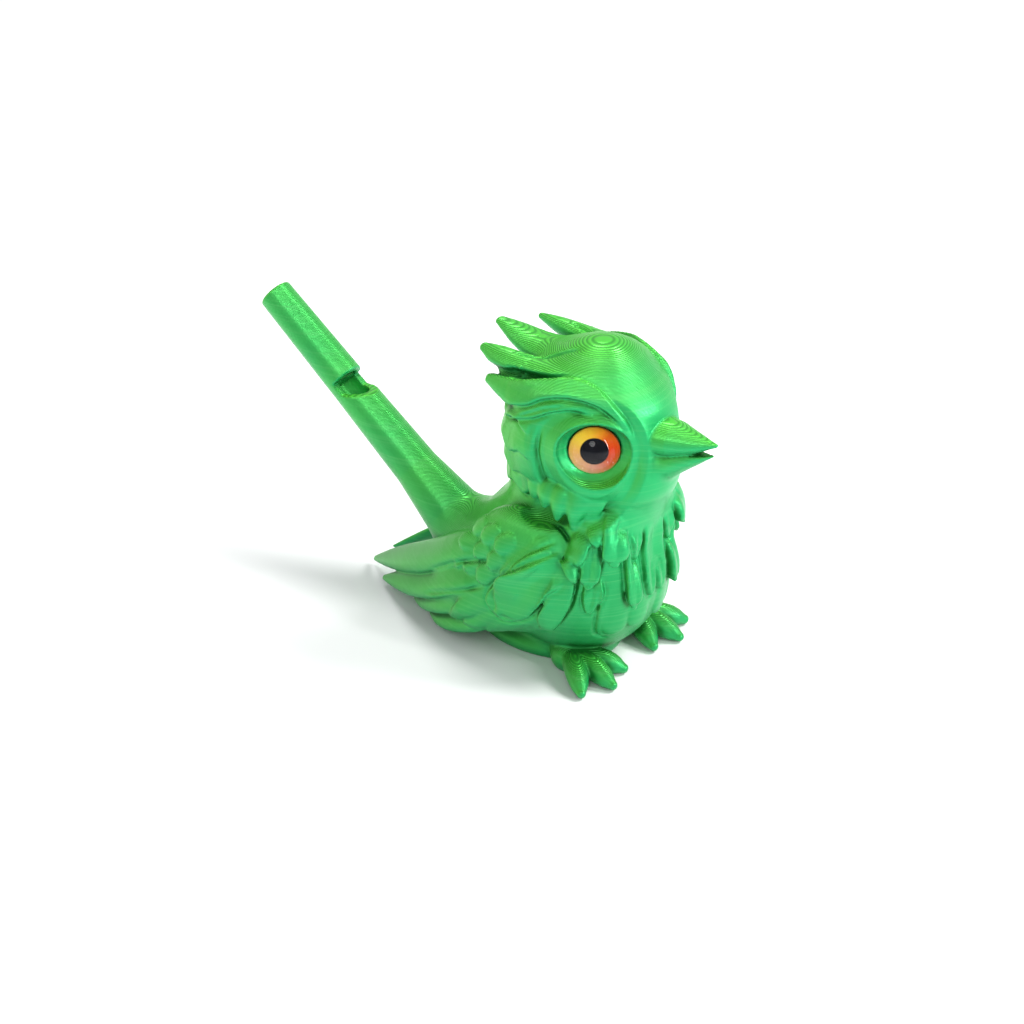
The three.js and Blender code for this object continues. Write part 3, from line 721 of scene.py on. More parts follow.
COVERTS = (
    # root, middle and tip from the middle of the breast; half width; thickness; tilt
    ((-3.0, -20.5, -1.5), (-11.0, -19.8, -6.4), (-19.5, -18.4, -12.6), 2.4, 1.0, -6),
    ((0.6, -20.0, -3.4), (-6.5, -20.0, -8.0), (-14.6, -18.6, -13.0), 2.3, 1.0, -6),
    ((4.0, -19.0, -4.6), (-2.4, -19.4, -8.6), (-9.8, -18.6, -12.6), 2.2, 1.0, -6),
    ((8.8, -15.6, 9.4), (9.4, -16.6, 3.6), (3.6, -17.4, -7.4), 3.4, 1.0, 10),
    ((7.2, -16.4, 10.4), (3.6, -19.6, 3.8), (-4.6, -20.6, -5.4), 4.7, 1.15, 7),
    ((5.6, -16.2, 12.4), (1.6, -19.2, 8.4), (-4.2, -20.4, 1.4), 2.7, 1.05, 7),
)
SCALES = (
    # the middle of each small scale off the breast
    (-16.0, -17.2, 1.8), (-12.2, -18.8, 1.6), (-8.2, -20.0, 1.4), (-13.6, -17.2, 5.4), (-9.8, -18.8, 5.8),
    (-5.8, -19.8, 5.4), (-12.0, -15.8, 9.0), (-8.0, -17.4, 9.6), (-4.0, -18.4, 9.4),
)


PRIMARY_LINES = (
    # the first three points of each primary off the breast, from the top one down
    ((-8.0, -17.6, 7.4), (-18.0, -16.4, 2.8), (-31.0, -12.6, -6.0)),
    ((-8.5, -18.6, 1.0), (-17.6, -17.8, -3.6), (-29.0, -15.0, -10.6)),
    ((-10.0, -18.2, -5.0), (-18.0, -17.4, -9.0), (-28.0, -14.8, -14.2)),
    ((-8.0, -17.6, -9.4), (-15.0, -17.2, -12.8), (-23.0, -16.0, -16.2)),
)


# How far each tip lies ahead of its box's back, and how high it lies.
PRIMARY_TIPS = ((0.4, 1.6), (0.4, 2.0), (4.0, 2.2), (3.0, 2.2))
PRIMARY_PROFILE = (0.5, 0.9, 1, 1, 0.98, 0.9, 0.74, 0.5, 0.16)
WING_STEPS = (
    # the front edge of the shoulder, the two great coverts, and lines between the primaries
    (((0.5, -14.4, 15.3), (4.9, -14.8, 14.4), (7.8, -14.9, 12.2), (9.5, -15.2, 9.4), (10.4, -15.6, 6.0),
      (10.3, -15.8, 2.6), (9.2, -16.0, -1.0), (6.7, -16.4, -5.0), (2.7, -16.0, -10.1)), -1, 1.1, 4.0, 0.8),
    (((5.7, -16.3, 11.6), (4.1, -18.6, 10.9), (1.7, -20.0, 9.3), (-0.5, -21.0, 7.3), (-2.6, -21.4, 4.3),
      (-5.4, -20.8, 0.4)), 1, 0.45, 3.0, 0.2),
    (((6.8, -17.1, 10.1), (2.3, -20.6, 7.4), (-3.7, -21.4, 2.4), (-7.9, -20.8, -3.1), (-6.4, -21.2, -6.0),
      (-3.5, -20.6, -7.8), (1.4, -19.8, -5.6), (5.8, -18.5, -1.4), (8.7, -17.8, 4.0)), 1, 0.8, 4.2, 0.35),
    (((-8.1, -21.6, 4.5), (-16.8, -19.6, 0.2), (-26.0, -16.7, -5.4)), 1, 0.35, 2.6, 0.3),
    (((-9.2, -21.0, -2.1), (-18.4, -19.8, -6.4), (-26.0, -18.0, -10.6)), 1, 0.35, 2.6, 0.3),
)


class WHISTLE_OT_wings(Sculptor):
    """Press the folded wing: its shoulder, small scales, broad coverts and long primaries"""

    bl_idname = "whistle.wings"
    bl_label = "Wings"

    def press(self):
        shape = clay()
        press_ball("wing_coverts_right", BREAST + (-3.4, -14.2, 1.8), (13.0, 6.4, 13.8), 0.5)
        press_ball("wing_coverts_right", BREAST + (-11.0, -13.8, -5.4), (14.5, 6.8, 9.6), 3.0, pitch=-24)
        press_ball("wing_coverts_right", BREAST + (-19.0, -12.8, -7.6), (15.0, 4.6, 6.4), 4.0, pitch=-26)
        for index in range(4)[::-1]:
            low, high = box_mm(f"primary_{index + 1}_right")
            inset, rise = PRIMARY_TIPS[index]
            aside = high[1] + 0.3 if index == 0 else (low[1] + high[1]) / 2 + 2.6
            points = from_breast(*PRIMARY_LINES[index]) + [np.array([low[0] + inset, aside, rise])]
            press_lock(shape, f"primary_{index + 1}_right", points, 3.9 - 0.2 * index, 1.9,
                       (-0.3, -0.85, 0.6), blend=0.4, tilt=-8, profile=PRIMARY_PROFILE)
        for root, middle, tip, width, height, tilt in COVERTS:
            press_feather(shape, "wing_coverts_right", from_breast(root, middle, tip), width, height,
                          lift=(-0.7, 0.35), tilt=tilt, blend=0.35, fullest=0.5, point=2.2, blunt=0.55)
        for x, y, z in SCALES:
            places = from_breast((x + 2.0, y, z + 1.6), (x, y, z), (x - 2.4, y, z - 1.9))
            press_feather(shape, "wing_coverts_right", places, 2.1, 0.95, lift=(-0.5, 0.2), tilt=5,
                          blend=0.3, fullest=0.55, point=2.2, blunt=0.55)
        lay_steps(BREAST, WING_STEPS)


TOES = ((-43, 12.2), (-7, 12.4), (28, 11.6))  # each toe's bearing in degrees and its length


class WHISTLE_OT_feet(Sculptor):
    """Press each foot: a low heel with three tapered toes"""

    bl_idname = "whistle.feet"
    bl_label = "Feet"

    def press(self):
        shape = clay()
        low, high = box_mm("foot_right")
        ankle = np.array([low[0] + 5.0, (low[1] + high[1]) / 2 + 0.6, 2.5])
        press_ball("foot_right", ankle + (-0.8, 0.8, 0.0), (4.4, 3.8, 3.6), 1.0)
        for bearing, length in TOES:
            turn = math.radians(bearing)
            way = np.array([math.cos(turn), math.sin(turn), 0.0])
            points = [ankle + way * reach + (0, 0, rise) for reach, rise in
                      ((0.5, 0.6), (0.55 * length, 0.3), (length - 0.8, -1.2))]
            press_lock(shape, "foot_right", points, 2.4, 2.6, (0, 0, 1), blend=0.4,
                       profile=(0.8, 0.95, 1, 1, 0.96, 0.88, 0.72, 0.42))


# The tube's radius at places along it: it widens into the rump.
TUBE_PLACES = (0, 28, 50, 62, 72, 80)
TUBE_RADII = (3.75, 4.25, 4.9, 6.4, 8.6, 9.6)
MOUTH_ROUND = 0.5


class WHISTLE_OT_tube(Sculptor):
    """Press the blowing tube that is the tail, with its bore, window and edge"""

    bl_idname = "whistle.tube"
    bl_label = "Whistle Tube"

    def press(self):
        def frame_of(x, y, z):
            x, z = x - TUBE_MOUTH[0], z - TUBE_MOUTH[2]
            along = x * TUBE_AXIS[0] + z * TUBE_AXIS[2]
            up = x * TUBE_UP[0] + z * TUBE_UP[2]
            return along, up, np.sqrt(up ** 2 + y ** 2)

        def outside(x, y, z):
            along, _, away = frame_of(x, y, z)
            side = (away - np.interp(along, TUBE_PLACES, TUBE_RADII)) * 0.985
            end = -along
            corner = np.sqrt(np.maximum(side + MOUTH_ROUND, 0) ** 2 + np.maximum(end + MOUTH_ROUND, 0) ** 2)
            corner = np.minimum(corner - MOUTH_ROUND, 9)
            return np.maximum(np.maximum(corner, np.maximum(side, end)), along - TUBE_END)

        low = np.array(CAD_BOUNDS[0]) / MM - 2
        high = (TUBE_MOUTH + TUBE_AXIS * (TUBE_END + 6))[0] + 8, 0.5, CAD_BOUNDS[1][2] / MM + 2
        clay().press("whistle_tube", outside, low, high, 4.0)

        def bore(x, y, z):
            along, _, away = frame_of(x, y, z)
            return np.maximum(away - BORE_RADIUS, along - BORE_LENGTH)

        clay().carve(bore, low, high, 0.2)

        def window(x, y, z):
            along, up, _ = frame_of(x, y, z)
            ramp = (up - 0.2) * 0.70 - (along - EDGE_AT) * 0.714
            return np.maximum(np.maximum(WINDOW_AT - along, -ramp), 0.2 - up) + 0 * y

        middle = TUBE_MOUTH + TUBE_AXIS * (EDGE_AT + 1)
        clay().carve(window, middle - 9, middle + 9, 0.12)


# ---- From clay to pieces -----------------------------------------------------------------------

def whole_clay(shape):
    """Both halves of the bird, with the owner of every place."""
    ground = shape.axes[2][None, None, :]
    body = np.maximum(shape.body, -ground).astype(np.float32)
    body = np.concatenate([body, body[:, -2::-1, :]], axis=1)
    names = list(shape.names)
    twin_of = np.arange(len(names))
    for i, name in enumerate(shape.names):
        if name.endswith("_right"):
            names.append(name[:-5] + "left")
            twin_of[i] = len(names) - 1
    owner = np.concatenate([shape.owner, twin_of.astype(np.uint8)[shape.owner][:, -2::-1, :]], axis=1)
    return body, owner, names


def components(count, links):
    """The lowest linked number of each item."""
    group = np.arange(count)
    while True:
        least = np.minimum(group[links[:, 0]], group[links[:, 1]])
        after = group.copy()
        np.minimum.at(after, group[links[:, 0]], least)
        np.minimum.at(after, group[links[:, 1]], least)
        after = after[after]
        if (after == group).all():
            return group
        group = after


def face_links(quads):
    """Pairs of faces that share an edge."""
    edges = np.sort(np.stack([quads, np.roll(quads, -1, axis=1)], axis=2).reshape(-1, 2), axis=1)
    keys = edges[:, 0].astype(np.int64) * (quads.max() + 1) + edges[:, 1]
    order = np.argsort(keys, kind="stable")
    keys = keys[order]
    faces = order // 4
    same = keys[1:] == keys[:-1]
    return np.stack([faces[:-1][same], faces[1:][same]], axis=1)


def settle_labels(labels, links, least, rounds=6):
    """Give every small island of faces to the piece that borders most of it."""
    for _ in range(rounds):
        group = components(len(labels), links[labels[links[:, 0]] == labels[links[:, 1]]])
        sizes = np.bincount(group, minlength=len(labels))
        small = sizes[group] < least
        biggest = {label: sizes[group[labels == label]].max() for label in np.unique(labels)}
        limit = np.array([biggest.get(label, 0) for label in range(labels.max() + 1)])
        small |= sizes[group] < 0.5 * limit[labels]
        if not small.any():
            break
        border = links[labels[links[:, 0]] != labels[links[:, 1]]]
        border = np.concatenate([border, border[:, ::-1]])
        border = border[small[border[:, 0]] & ~small[border[:, 1]]]
        if not len(border):
            break
        votes = np.zeros((len(labels), labels.max() + 1), np.int32)
        np.add.at(votes, (group[border[:, 0]], labels[border[:, 1]]), 1)
        chosen = votes[group].argmax(axis=1)
        labels = np.where(small & (votes[group].sum(axis=1) > 0), chosen, labels)
    return labels


def border_loops(faces):
    """The open edges of a set of faces, as loops of vertices in the faces' own order."""
    edges = np.stack([faces, np.roll(faces, -1, axis=1)], axis=2).reshape(-1, 2)
    size = faces.max() + 1
    forward = edges[:, 0].astype(np.int64) * size + edges[:, 1]
    backward = edges[:, 1].astype(np.int64) * size + edges[:, 0]
    open_edges = edges[~np.isin(forward, backward)]
    after = {}
    for a, b in open_edges.tolist():
        after.setdefault(a, []).append(b)
    loops = []
    while after:
        start = next(iter(after))
        loop = [start]
        while True:
            here = loop[-1]
            there = after[here].pop()
            if not after[here]:
                del after[here]
            if there == start:
                break
            if there in loop:
                cut = loop.index(there)
                loops.append(loop[cut:])
                loop = loop[:cut + 1]
                continue
            loop.append(there)
        loops.append(loop)
    return [loop for loop in loops if len(loop) > 2]


def tucked(shape, rim, normals):
    """The rim moved into the clay, as far as the clay is thick enough there."""
    moved = rim - normals * 0.1
    for depth in (0.25, 0.5, 0.9, 1.3):
        inner = rim - normals * depth
        half = inner * np.where(inner[:, 1:2] > 0, (1, -1, 1), (1, 1, 1))
        deep = (shape.sample(half) < -0.6 * depth)[:, None]
        moved = np.where(deep, inner, moved)
    return moved


def deepest_hub(shape, rim, normals):
    """A point in the clay from which lines to the whole rim stay inside."""
    middle = rim.mean(axis=0)
    inward = -normals.mean(axis=0)
    size = np.linalg.norm(rim - middle, axis=1).mean()
    heart = np.array([BREAST[0] - 3.0, 0.0, BREAST[2]])
    choices = [middle + inward * size * depth for depth in (0.15, 0.35, 0.6, 1.0, 1.6)]
    choices += [middle + (heart - middle) * share for share in (0.15, 0.3, 0.5, 0.7)]
    choices += [middle + (HEAD - middle) * share for share in (0.15, 0.3, 0.5, 0.7)]
    worst = []
    for hub in choices:
        lines = rim[None] + (hub - rim)[None] * np.linspace(0.1, 1, 12)[:, None, None]
        lines[..., 1] = -np.abs(lines[..., 1])
        worst.append(shape.sample(lines).max())
    return choices[int(np.argmin(worst))]


def plain_mesh(name, points, faces):
    mesh = bpy.data.meshes.new(name)
    mesh.from_pydata(points, [], faces)
    mesh.update()
    return mesh


def show(name, mesh, material):
    """Put a mesh in the scene with its material."""
    mesh.materials.append(material)
    piece = bpy.data.objects.new(name, mesh)
    bpy.context.scene.collection.objects.link(piece)
    return piece


def point_values(mesh, name, values):
    """Keep a number with each of a mesh's points, for its material to read."""
    layer = mesh.attributes.new(name, "FLOAT", "POINT")
    layer.data.foreach_set("value", np.asarray(values, np.float32))


SILKS = ("silk_green", "silk_lime", "silk_emerald")
SILK_SLOT = {
    "body_shell": "silk_green", "nape_ruff": "silk_green", "wing_coverts": "silk_green",
    "primary": "silk_lime", "crest": "silk_lime", "whistle_tube": "silk_lime",
}


def silk_slot(name):
    """The silk of a piece, from the start of its name."""
    for start, slot in SILK_SLOT.items():
        if name.startswith(start):
            return slot
    return "silk_emerald"


def skin_of(body):
    """The clay's skin: places on the grid and the quads between them."""
    grid = openvdb.FloatGrid(background=3.0)
    grid.copyFromArray(np.ascontiguousarray(np.clip(body, -3, 3)))
    grid.gridClass = openvdb.GridClass.LEVEL_SET
    spots, quads = grid.convertToQuads(isovalue=0.0)
    return np.asarray(spots, float), np.asarray(quads, np.int64)[:, ::-1]


def skin_normals(points, quads):
    """The outward direction at each point of the skin."""
    skin = plain_mesh("skin", points * MM, quads.tolist())
    normals = np.zeros(len(points) * 3, np.float32)
    skin.vertices.foreach_get("normal", normals)
    bpy.data.meshes.remove(skin)
    return normals.reshape(-1, 3)


def hollowness(shape, points, normals):
    """How deep each point of the skin lies: 0 in the open and near 1 in a crease."""
    side = np.where(points[:, 1:2] <= 0, (1, 1, 1), (1, -1, 1))
    hollow = np.zeros(len(points))
    for reach, share in ((0.7, 0.3), (1.5, 0.4), (3.0, 0.3)):
        ahead = shape.sample(points * side + normals * side * reach)
        hollow += share * np.clip(1 - ahead / reach, 0, 1)
    return hollow


def close_inside(shape, faces, inside, ways):
    """Points and faces that close a piece in the clay: a skirt inside each open rim, a fan behind it."""
    extra, caps = [], []
    count = len(inside)
    for loop in border_loops(faces):
        skirt = tucked(shape, inside[loop], ways[loop])
        extra.append(np.vstack([skirt, deepest_hub(shape, skirt, ways[loop])]))
        hub = count + len(loop)
        for i, vertex in enumerate(loop):
            j = (i + 1) % len(loop)
            caps += [(loop[j], vertex, count + i, count + j), (count + j, count + i, hub)]
        count = hub + 1
    return np.vstack([inside] + extra), caps


class WHISTLE_OT_print(bpy.types.Operator):
    """Turn the clay into the printed pieces, which meet without a gap along the bird's creases"""

    bl_idname = "whistle.print"
    bl_label = "Printed Pieces"

    def execute(self, context):
        shape = clay()
        body, owner, names = whole_clay(shape)
        spots, quads = skin_of(body)
        near = np.clip(np.round(spots[quads].mean(axis=1)).astype(int), 0, np.array(body.shape) - 1)
        labels = owner[near[:, 0], near[:, 1], near[:, 2]].astype(np.int64)
        labels = settle_labels(labels, face_links(quads), least=60)
        points = shape.low + spots * shape.pitch
        normals = skin_normals(points, quads)
        # The hollow value sets the roughness, and darkens the colour in creases as painted shade.
        hollow = hollowness(shape, points, normals)
        silk = {slot: silk_print(slot, context.scene.whistle) for slot in SILKS}
        for label in np.unique(labels):
            name = names[label]
            used, faces = np.unique(quads[labels == label], return_inverse=True)
            faces = faces.reshape(-1, 4)
            whole, caps = close_inside(shape, faces, points[used], normals[used])
            added = len(whole) - len(used)
            mesh = plain_mesh(name, whole * MM, faces.tolist() + caps)
            mesh.shade_smooth()
            way = np.vstack([normals[used], np.tile([0.0, 0.0, 1.0], (added, 1))])
            mesh.normals_split_custom_set_from_vertices(way.tolist())
            point_values(mesh, "hollow", np.concatenate([hollow[used], np.ones(added)]))
            slot = silk_slot(name)
            piece = show(f"print_{name}", mesh, silk[slot])
            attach(piece, "root")
            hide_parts(name)
        return {"FINISHED"}


# ---- Materials ----------------------------------------------------------------------------------

class Value:
    """A node socket that takes part in arithmetic."""

    def __init__(self, shop, socket):
        self.shop, self.socket = shop, socket

    def _math(self, operation, *others):
        return self.shop.node("ShaderNodeMath", {"operation": operation}, {
            i: other for i, other in enumerate((self, *others))
        })[0]

    def __add__(self, other):
        return self._math("ADD", other)

    def __mul__(self, other):
        return self._math("MULTIPLY", other)

    def __sub__(self, other):
        return self._math("SUBTRACT", other)

    def __rsub__(self, other):
        return (self * -1.0) + other

    def __pow__(self, other):
        return self._math("POWER", other)

    def __abs__(self):
        return self._math("ABSOLUTE")

    def sine(self):
        return self._math("SINE")

    def clamped(self, low=0.0, high=1.0):
        return self._math("MAXIMUM", low)._math("MINIMUM", high)

    def smooth(self, low, high):
        """0 below low, 1 above high, and an even curve between them."""
        return self.shop.node("ShaderNodeMapRange", {"interpolation_type": "SMOOTHSTEP"}, {
            "Value": self, "From Min": low, "From Max": high,
        })[0]


class Shop:
    """Where one material is mixed."""

    def __init__(self, name):
        self.material = bpy.data.materials.new(name)
        self.material.use_nodes = True
        self.tree = self.material.node_tree
        self.tree.nodes.clear()

    def node(self, kind, settings=None, values=None):
        """Add a node, with its settings and the values or links of its sockets. Gives its outputs."""
        node = self.tree.nodes.new(kind)
        for key, value in (settings or {}).items():
            if key == "stops":
                while len(node.color_ramp.elements) < len(value):
                    node.color_ramp.elements.new(1.0)
                for element, (position, colour) in zip(node.color_ramp.elements, value):
                    element.position, element.color = position, (*colour, 1.0)
            else:
                setattr(node, key, value)
        for key, value in (values or {}).items():
            if isinstance(value, Value):
                self.tree.links.new(value.socket, node.inputs[key])
            else:
                node.inputs[key].default_value = value
        return [Value(self, output) for output in node.outputs]

    def mix(self, share, a, b, blend="MIX"):
        """A mix of two colours."""
        a, b = (colour if isinstance(colour, Value) else (*colour, 1.0) for colour in (a, b))
        settings = {"data_type": "RGBA", "blend_type": blend}
        return self.node("ShaderNodeMix", settings, {0: share, 6: a, 7: b})[2]

    def parts(self, vector):
        return self.node("ShaderNodeSeparateXYZ", {}, {0: vector})

    def place(self):
        """The place in the bird, in metres."""
        return self.node("ShaderNodeTexCoord")[3]

    def noise(self, vector, scale, detail=2.0, stretch=(1, 1, 1)):
        spread = self.node("ShaderNodeMapping", {}, {"Vector": vector, "Scale": stretch})[0]
        values = {"Vector": spread, "Scale": scale, "Detail": detail}
        return self.node("ShaderNodeTexNoise", {}, values)[0]

    def attribute(self, name):
        return self.node("ShaderNodeAttribute", {"attribute_name": name})[2]

    def finish(self, surface):
        self.node("ShaderNodeOutputMaterial", {}, {"Surface": surface})
        return self.material


def silk_print(name, sizes):
    """Green silk filament: lime from one side and emerald from the other, laid in thin level layers, with
    painted light on its tops and painted shade in its creases, layer grooves and lower parts.
    """
    shop = Shop(name)
    place = shop.place()
    height = shop.parts(place)[2]
    normal = shop.node("ShaderNodeNewGeometry")[1]
    facing = shop.parts(normal)
    hollow = shop.attribute("hollow")
    layer = sizes.layer_height
    drift = shop.noise(place, 60.0, 2.0)
    # The two-tone strand shows its lime side to the back and its emerald side to the front. The lime on the
    # tops is painted light from above, and the turn to emerald in creases is painted shade.
    turn = facing[0] * -0.66 + facing[1] * 0.06 + facing[2] * 0.62 - 0.04
    lime = (turn + (drift - 0.5) * 0.55 - hollow * 0.25).smooth(-0.62, 0.72)
    colour = shop.mix(lime, tuple(sizes.emerald), tuple(sizes.lime))
    # Painted shade: the colour darkens towards the floor, under the body.
    low = (0.040 - height).smooth(0.0, 0.022)
    colour = shop.mix(low * 0.42, colour, (0.008, 0.25, 0.05))
    # Single layers differ a little in tone.
    streak = shop.noise(place, 1.0, 3.0, stretch=(14.0, 14.0, 1.0 / layer * 0.45))
    colour = shop.mix((streak - 0.5).clamped(0, 1) * 0.5, colour, (0.30, 0.86, 0.34))
    # Painted shade: the colour darkens to the shade colour in creases.
    deep = hollow.smooth(0.10, 0.75) * 0.85
    colour = shop.mix(deep, colour, tuple(sizes.shade))
    wave = (height * (2 * math.pi / layer)).sine() * 0.5
    slope = abs(facing[2])
    flat = slope.smooth(0.25, 0.95)
    # Painted shade: the grooves between layers on shallow slopes are darkened.
    painted_groove_shade = (wave * -1.6 + 0.2).clamped() * flat
    colour = shop.mix(painted_groove_shade * 0.55, colour, tuple(sizes.shade))
    level = wave * (flat * 0.085 + 0.014) * MM
    grain = shop.noise(place, 1500.0, 2.0)
    bump = shop.node("ShaderNodeBump", {}, {"Strength": 1.0, "Distance": 1.0,
                                            "Height": level + (grain - 0.5) * (0.006 * MM)})[0]
    rough = streak * 0.10 + hollow * 0.15 + 0.26
    surface = shop.node("ShaderNodeBsdfPrincipled", {}, {
        "Base Color": colour, "Metallic": 0.45, "Roughness": rough, "IOR": 1.48,
        "Specular IOR Level": 0.5, "Normal": bump,
    })[0]
    return shop.finish(surface)


def glass_dome_material():
    """Clear cast glass that lets light through to the print behind it."""
    shop = Shop("clear_glass")
    swirl = shop.noise(shop.place(), 400.0, 2.0)
    glass = shop.node("ShaderNodeBsdfPrincipled", {}, {
        "Base Color": (1.0, 1.0, 1.0, 1.0), "Roughness": swirl * 0.015 + 0.008, "IOR": 1.33,
        "Transmission Weight": 1.0,
    })[0]
    clear = shop.node("ShaderNodeBsdfTransparent", {}, {"Color": (0.97, 0.98, 0.97, 1.0)})[0]
    shadow = shop.node("ShaderNodeLightPath")[1]
    return shop.finish(shop.node("ShaderNodeMixShader", {}, {0: shadow, 1: glass, 2: clear})[0])


def iris_material():
    """The printed iris: yellow round to red, pearly below, with fine rays and a black pupil."""
    shop = Shop("printed_iris")
    across, rise = shop.attribute("across"), shop.attribute("rise")
    away = (across * across + rise * rise) ** 0.5
    turn = shop.node("ShaderNodeMath", {"operation": "ARCTAN2"}, {0: rise, 1: across})[0]
    turn = turn * (0.5 / math.pi) + 0.5
    # From the left, over the top to the right, and back underneath.
    ring = shop.node("ShaderNodeValToRGB", {"stops": [
        (0.00, (0.80, 0.42, 0.09)), (0.12, (0.62, 0.33, 0.16)), (0.25, (0.66, 0.30, 0.20)),
        (0.40, (0.66, 0.08, 0.02)), (0.52, (0.80, 0.05, 0.005)), (0.64, (0.80, 0.14, 0.01)),
        (0.78, (0.90, 0.50, 0.03)), (0.90, (0.90, 0.62, 0.06)), (1.00, (0.80, 0.42, 0.09)),
    ]}, {0: turn})[0]
    flat_place = shop.node("ShaderNodeCombineXYZ", {}, {0: across, 1: rise})[0]
    rays = shop.noise(shop.node("ShaderNodeCombineXYZ", {}, {0: turn * 34.0, 1: away * 1.6})[0], 1.0, 3.0)
    colour = shop.mix((rays - 0.42).clamped(0, 1) * 1.4, ring, (0.98, 0.78, 0.45), "SOFT_LIGHT")
    speck = shop.noise(flat_place, 9.0, 4.0).smooth(0.60, 0.72) * (0.25 - rise).smooth(-0.1, 0.8)
    colour = shop.mix(speck * 0.55, colour, (0.97, 0.80, 0.66))
    # Painted shade: the iris darkens towards its rim.
    colour = shop.mix(away.smooth(0.90, 1.0) * 0.75, colour, (0.10, 0.07, 0.02))
    edge = away + (rays - 0.5) * 0.02
    colour = shop.mix(1.0 - edge.smooth(0.45, 0.49), colour, (0.002, 0.002, 0.006))
    colour = shop.mix(0.24, colour, (0.0, 0.0, 0.0))
    surface = shop.node("ShaderNodeBsdfPrincipled", {}, {
        "Base Color": colour, "Roughness": rays * 0.2 + 0.55, "Specular IOR Level": 0.04,
    })[0]
    return shop.finish(surface)


def glue_material():
    """Clouded glue that has set under an eye."""
    shop = Shop("glue_pad")
    cloud = shop.noise(shop.place(), 900.0, 3.0)
    colour = shop.mix(cloud, (0.80, 0.76, 0.62), (0.90, 0.88, 0.78))
    surface = shop.node("ShaderNodeBsdfPrincipled", {}, {
        "Base Color": colour, "Roughness": cloud * 0.3 + 0.5,
    })[0]
    return shop.finish(surface)


# ---- Eyes and fipple ----------------------------------------------------------------------------

def turned_piece(name, centre, look, profile, columns, material):
    """A round piece about a line, from (radius, distance) points in millimetres."""
    level = np.cross((0, 0, 1), look)
    level = level / np.linalg.norm(level)
    rise = np.cross(look, level)
    points, faces, flat = [], [], []
    for radius, ahead in profile:
        if radius == 0:
            points.append(centre + look * ahead)
            flat.append((0.0, 0.0))
            continue
        for i in range(columns):
            turn = 2 * math.pi * i / columns
            cos, sin = math.cos(turn), math.sin(turn)
            points.append(centre + look * ahead + radius * (level * cos + rise * sin))
            flat.append((radius * cos, radius * sin))
    starts, count = [], 0
    for radius, _ in profile:
        starts.append(count)
        count += 1 if radius == 0 else columns
    for (r0, _), (r1, _), a, b in zip(profile, profile[1:], starts, starts[1:]):
        for i in range(columns):
            j = (i + 1) % columns
            if r0 == 0:
                faces.append((a, b + j, b + i))
            elif r1 == 0:
                faces.append((a + i, a + j, b))
            else:
                faces.append((a + i, a + j, b + j, b + i))
    mesh = plain_mesh(name, [tuple(p * MM) for p in points], faces)
    mesh.shade_smooth()
    return show(name, mesh, material), np.array(flat)


class WHISTLE_OT_eyes(bpy.types.Operator):
    """Build each eye: a glass dome, the printed iris under it and the glue behind"""

    bl_idname = "whistle.eyes"
    bl_label = "Eyes"

    def execute(self, context):
        glass, iris, glue = glass_dome_material(), iris_material(), glue_material()
        for side in SIDES:
            centre, look = eye_axis(side)
            radius, rise = EYE_RADIUS, DOME_RISE
            curve = (radius ** 2 + rise ** 2) / (2 * rise)
            base = 0.2
            rise += 0.35
            dome = [(0, base)]
            dome += [(radius * k / 6, base) for k in range(1, 6)]
            dome += [(radius - 0.12, base), (radius, base + 0.12), (radius, base + 0.4)]
            for step in range(1, 15):
                away = radius * math.cos(step / 15 * math.pi / 2)
                dome.append((away, base + max(0.4, rise - curve + math.sqrt(curve ** 2 - away ** 2))))
            dome.append((0, base + rise))
            piece, _ = turned_piece(f"eye_dome_glass_{side}", centre, look, dome, 64, glass)
            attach(piece, "root")
            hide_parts(f"eye_dome_{side}")
            disc = [(0, -0.25), (4.7, -0.25), (4.98, -0.2), (4.98, 0.2), (4.9, 0.25)]
            disc += [(4.9 * k / 10, 0.25) for k in range(9, 0, -1)] + [(0, 0.25)]
            piece, flat = turned_piece(f"iris_print_{side}", centre, look, disc, 64, iris)
            mirror = 1.0 if side == "right" else -1.0
            point_values(piece.data, "across", flat[:, 0] / EYE_RADIUS * mirror)
            point_values(piece.data, "rise", flat[:, 1] / EYE_RADIUS)
            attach(piece, "root")
            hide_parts(f"iris_disc_{side}")
            pad = [(0, -1.75), (3.2, -1.75), (4.1, -1.6), (4.5, -1.2), (4.6, -0.75), (4.4, -0.55)]
            pad += [(3.0, -0.5), (0, -0.5)]
            piece, _ = turned_piece(f"eye_glue_{side}", centre, look, pad, 40, glue)
            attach(piece, "root")
            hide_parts(f"eye_pad_{side}")
        return {"FINISHED"}


class WHISTLE_OT_fipple(bpy.types.Operator):
    """Finish the block that narrows the bore to a flat windway"""

    bl_idname = "whistle.fipple"
    bl_label = "Fipple Block"

    def execute(self, context):
        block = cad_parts["fipple_block"]
        material = silk_print("silk_fipple", context.scene.whistle)
        # Painted shade: a middling hollow value darkens the whole block, as in a crease.
        point_values(block.data, "hollow", np.full(len(block.data.vertices), 0.45))
        for slot in block.material_slots:
            slot.material = material
        return {"FINISHED"}


# ---- Stage --------------------------------------------------------------------------------------

FLOOR_HALF = 3.0
SOFTBOXES = (
    # name, bearing and height in degrees, distance, width and length in metres, power in watts
    ("softbox_right", 40, 48, 0.80, 0.30, 0.30, 5.4),
    ("softbox_strip", 4, 24, 0.80, 0.06, 0.50, 2.6),
    ("softbox_front", -62, 36, 0.95, 0.40, 0.40, 1.6),
    ("softbox_top", 140, 72, 0.90, 0.50, 0.50, 4.2),
)
CAMERA_BEARING, CAMERA_HEIGHT, CAMERA_DISTANCE = -51.67, 28.93, 0.480


def look_at(thing, aim, turn, rise, distance):
    """Place a lamp or the camera at a bearing, a height and a distance from a place, looking at it."""
    turn, rise = math.radians(turn), math.radians(rise)
    away = Vector((math.cos(turn) * math.cos(rise), math.sin(turn) * math.cos(rise), math.sin(rise)))
    thing.location = aim + away * distance
    thing.rotation_euler = away.to_track_quat("Z", "Y").to_euler()


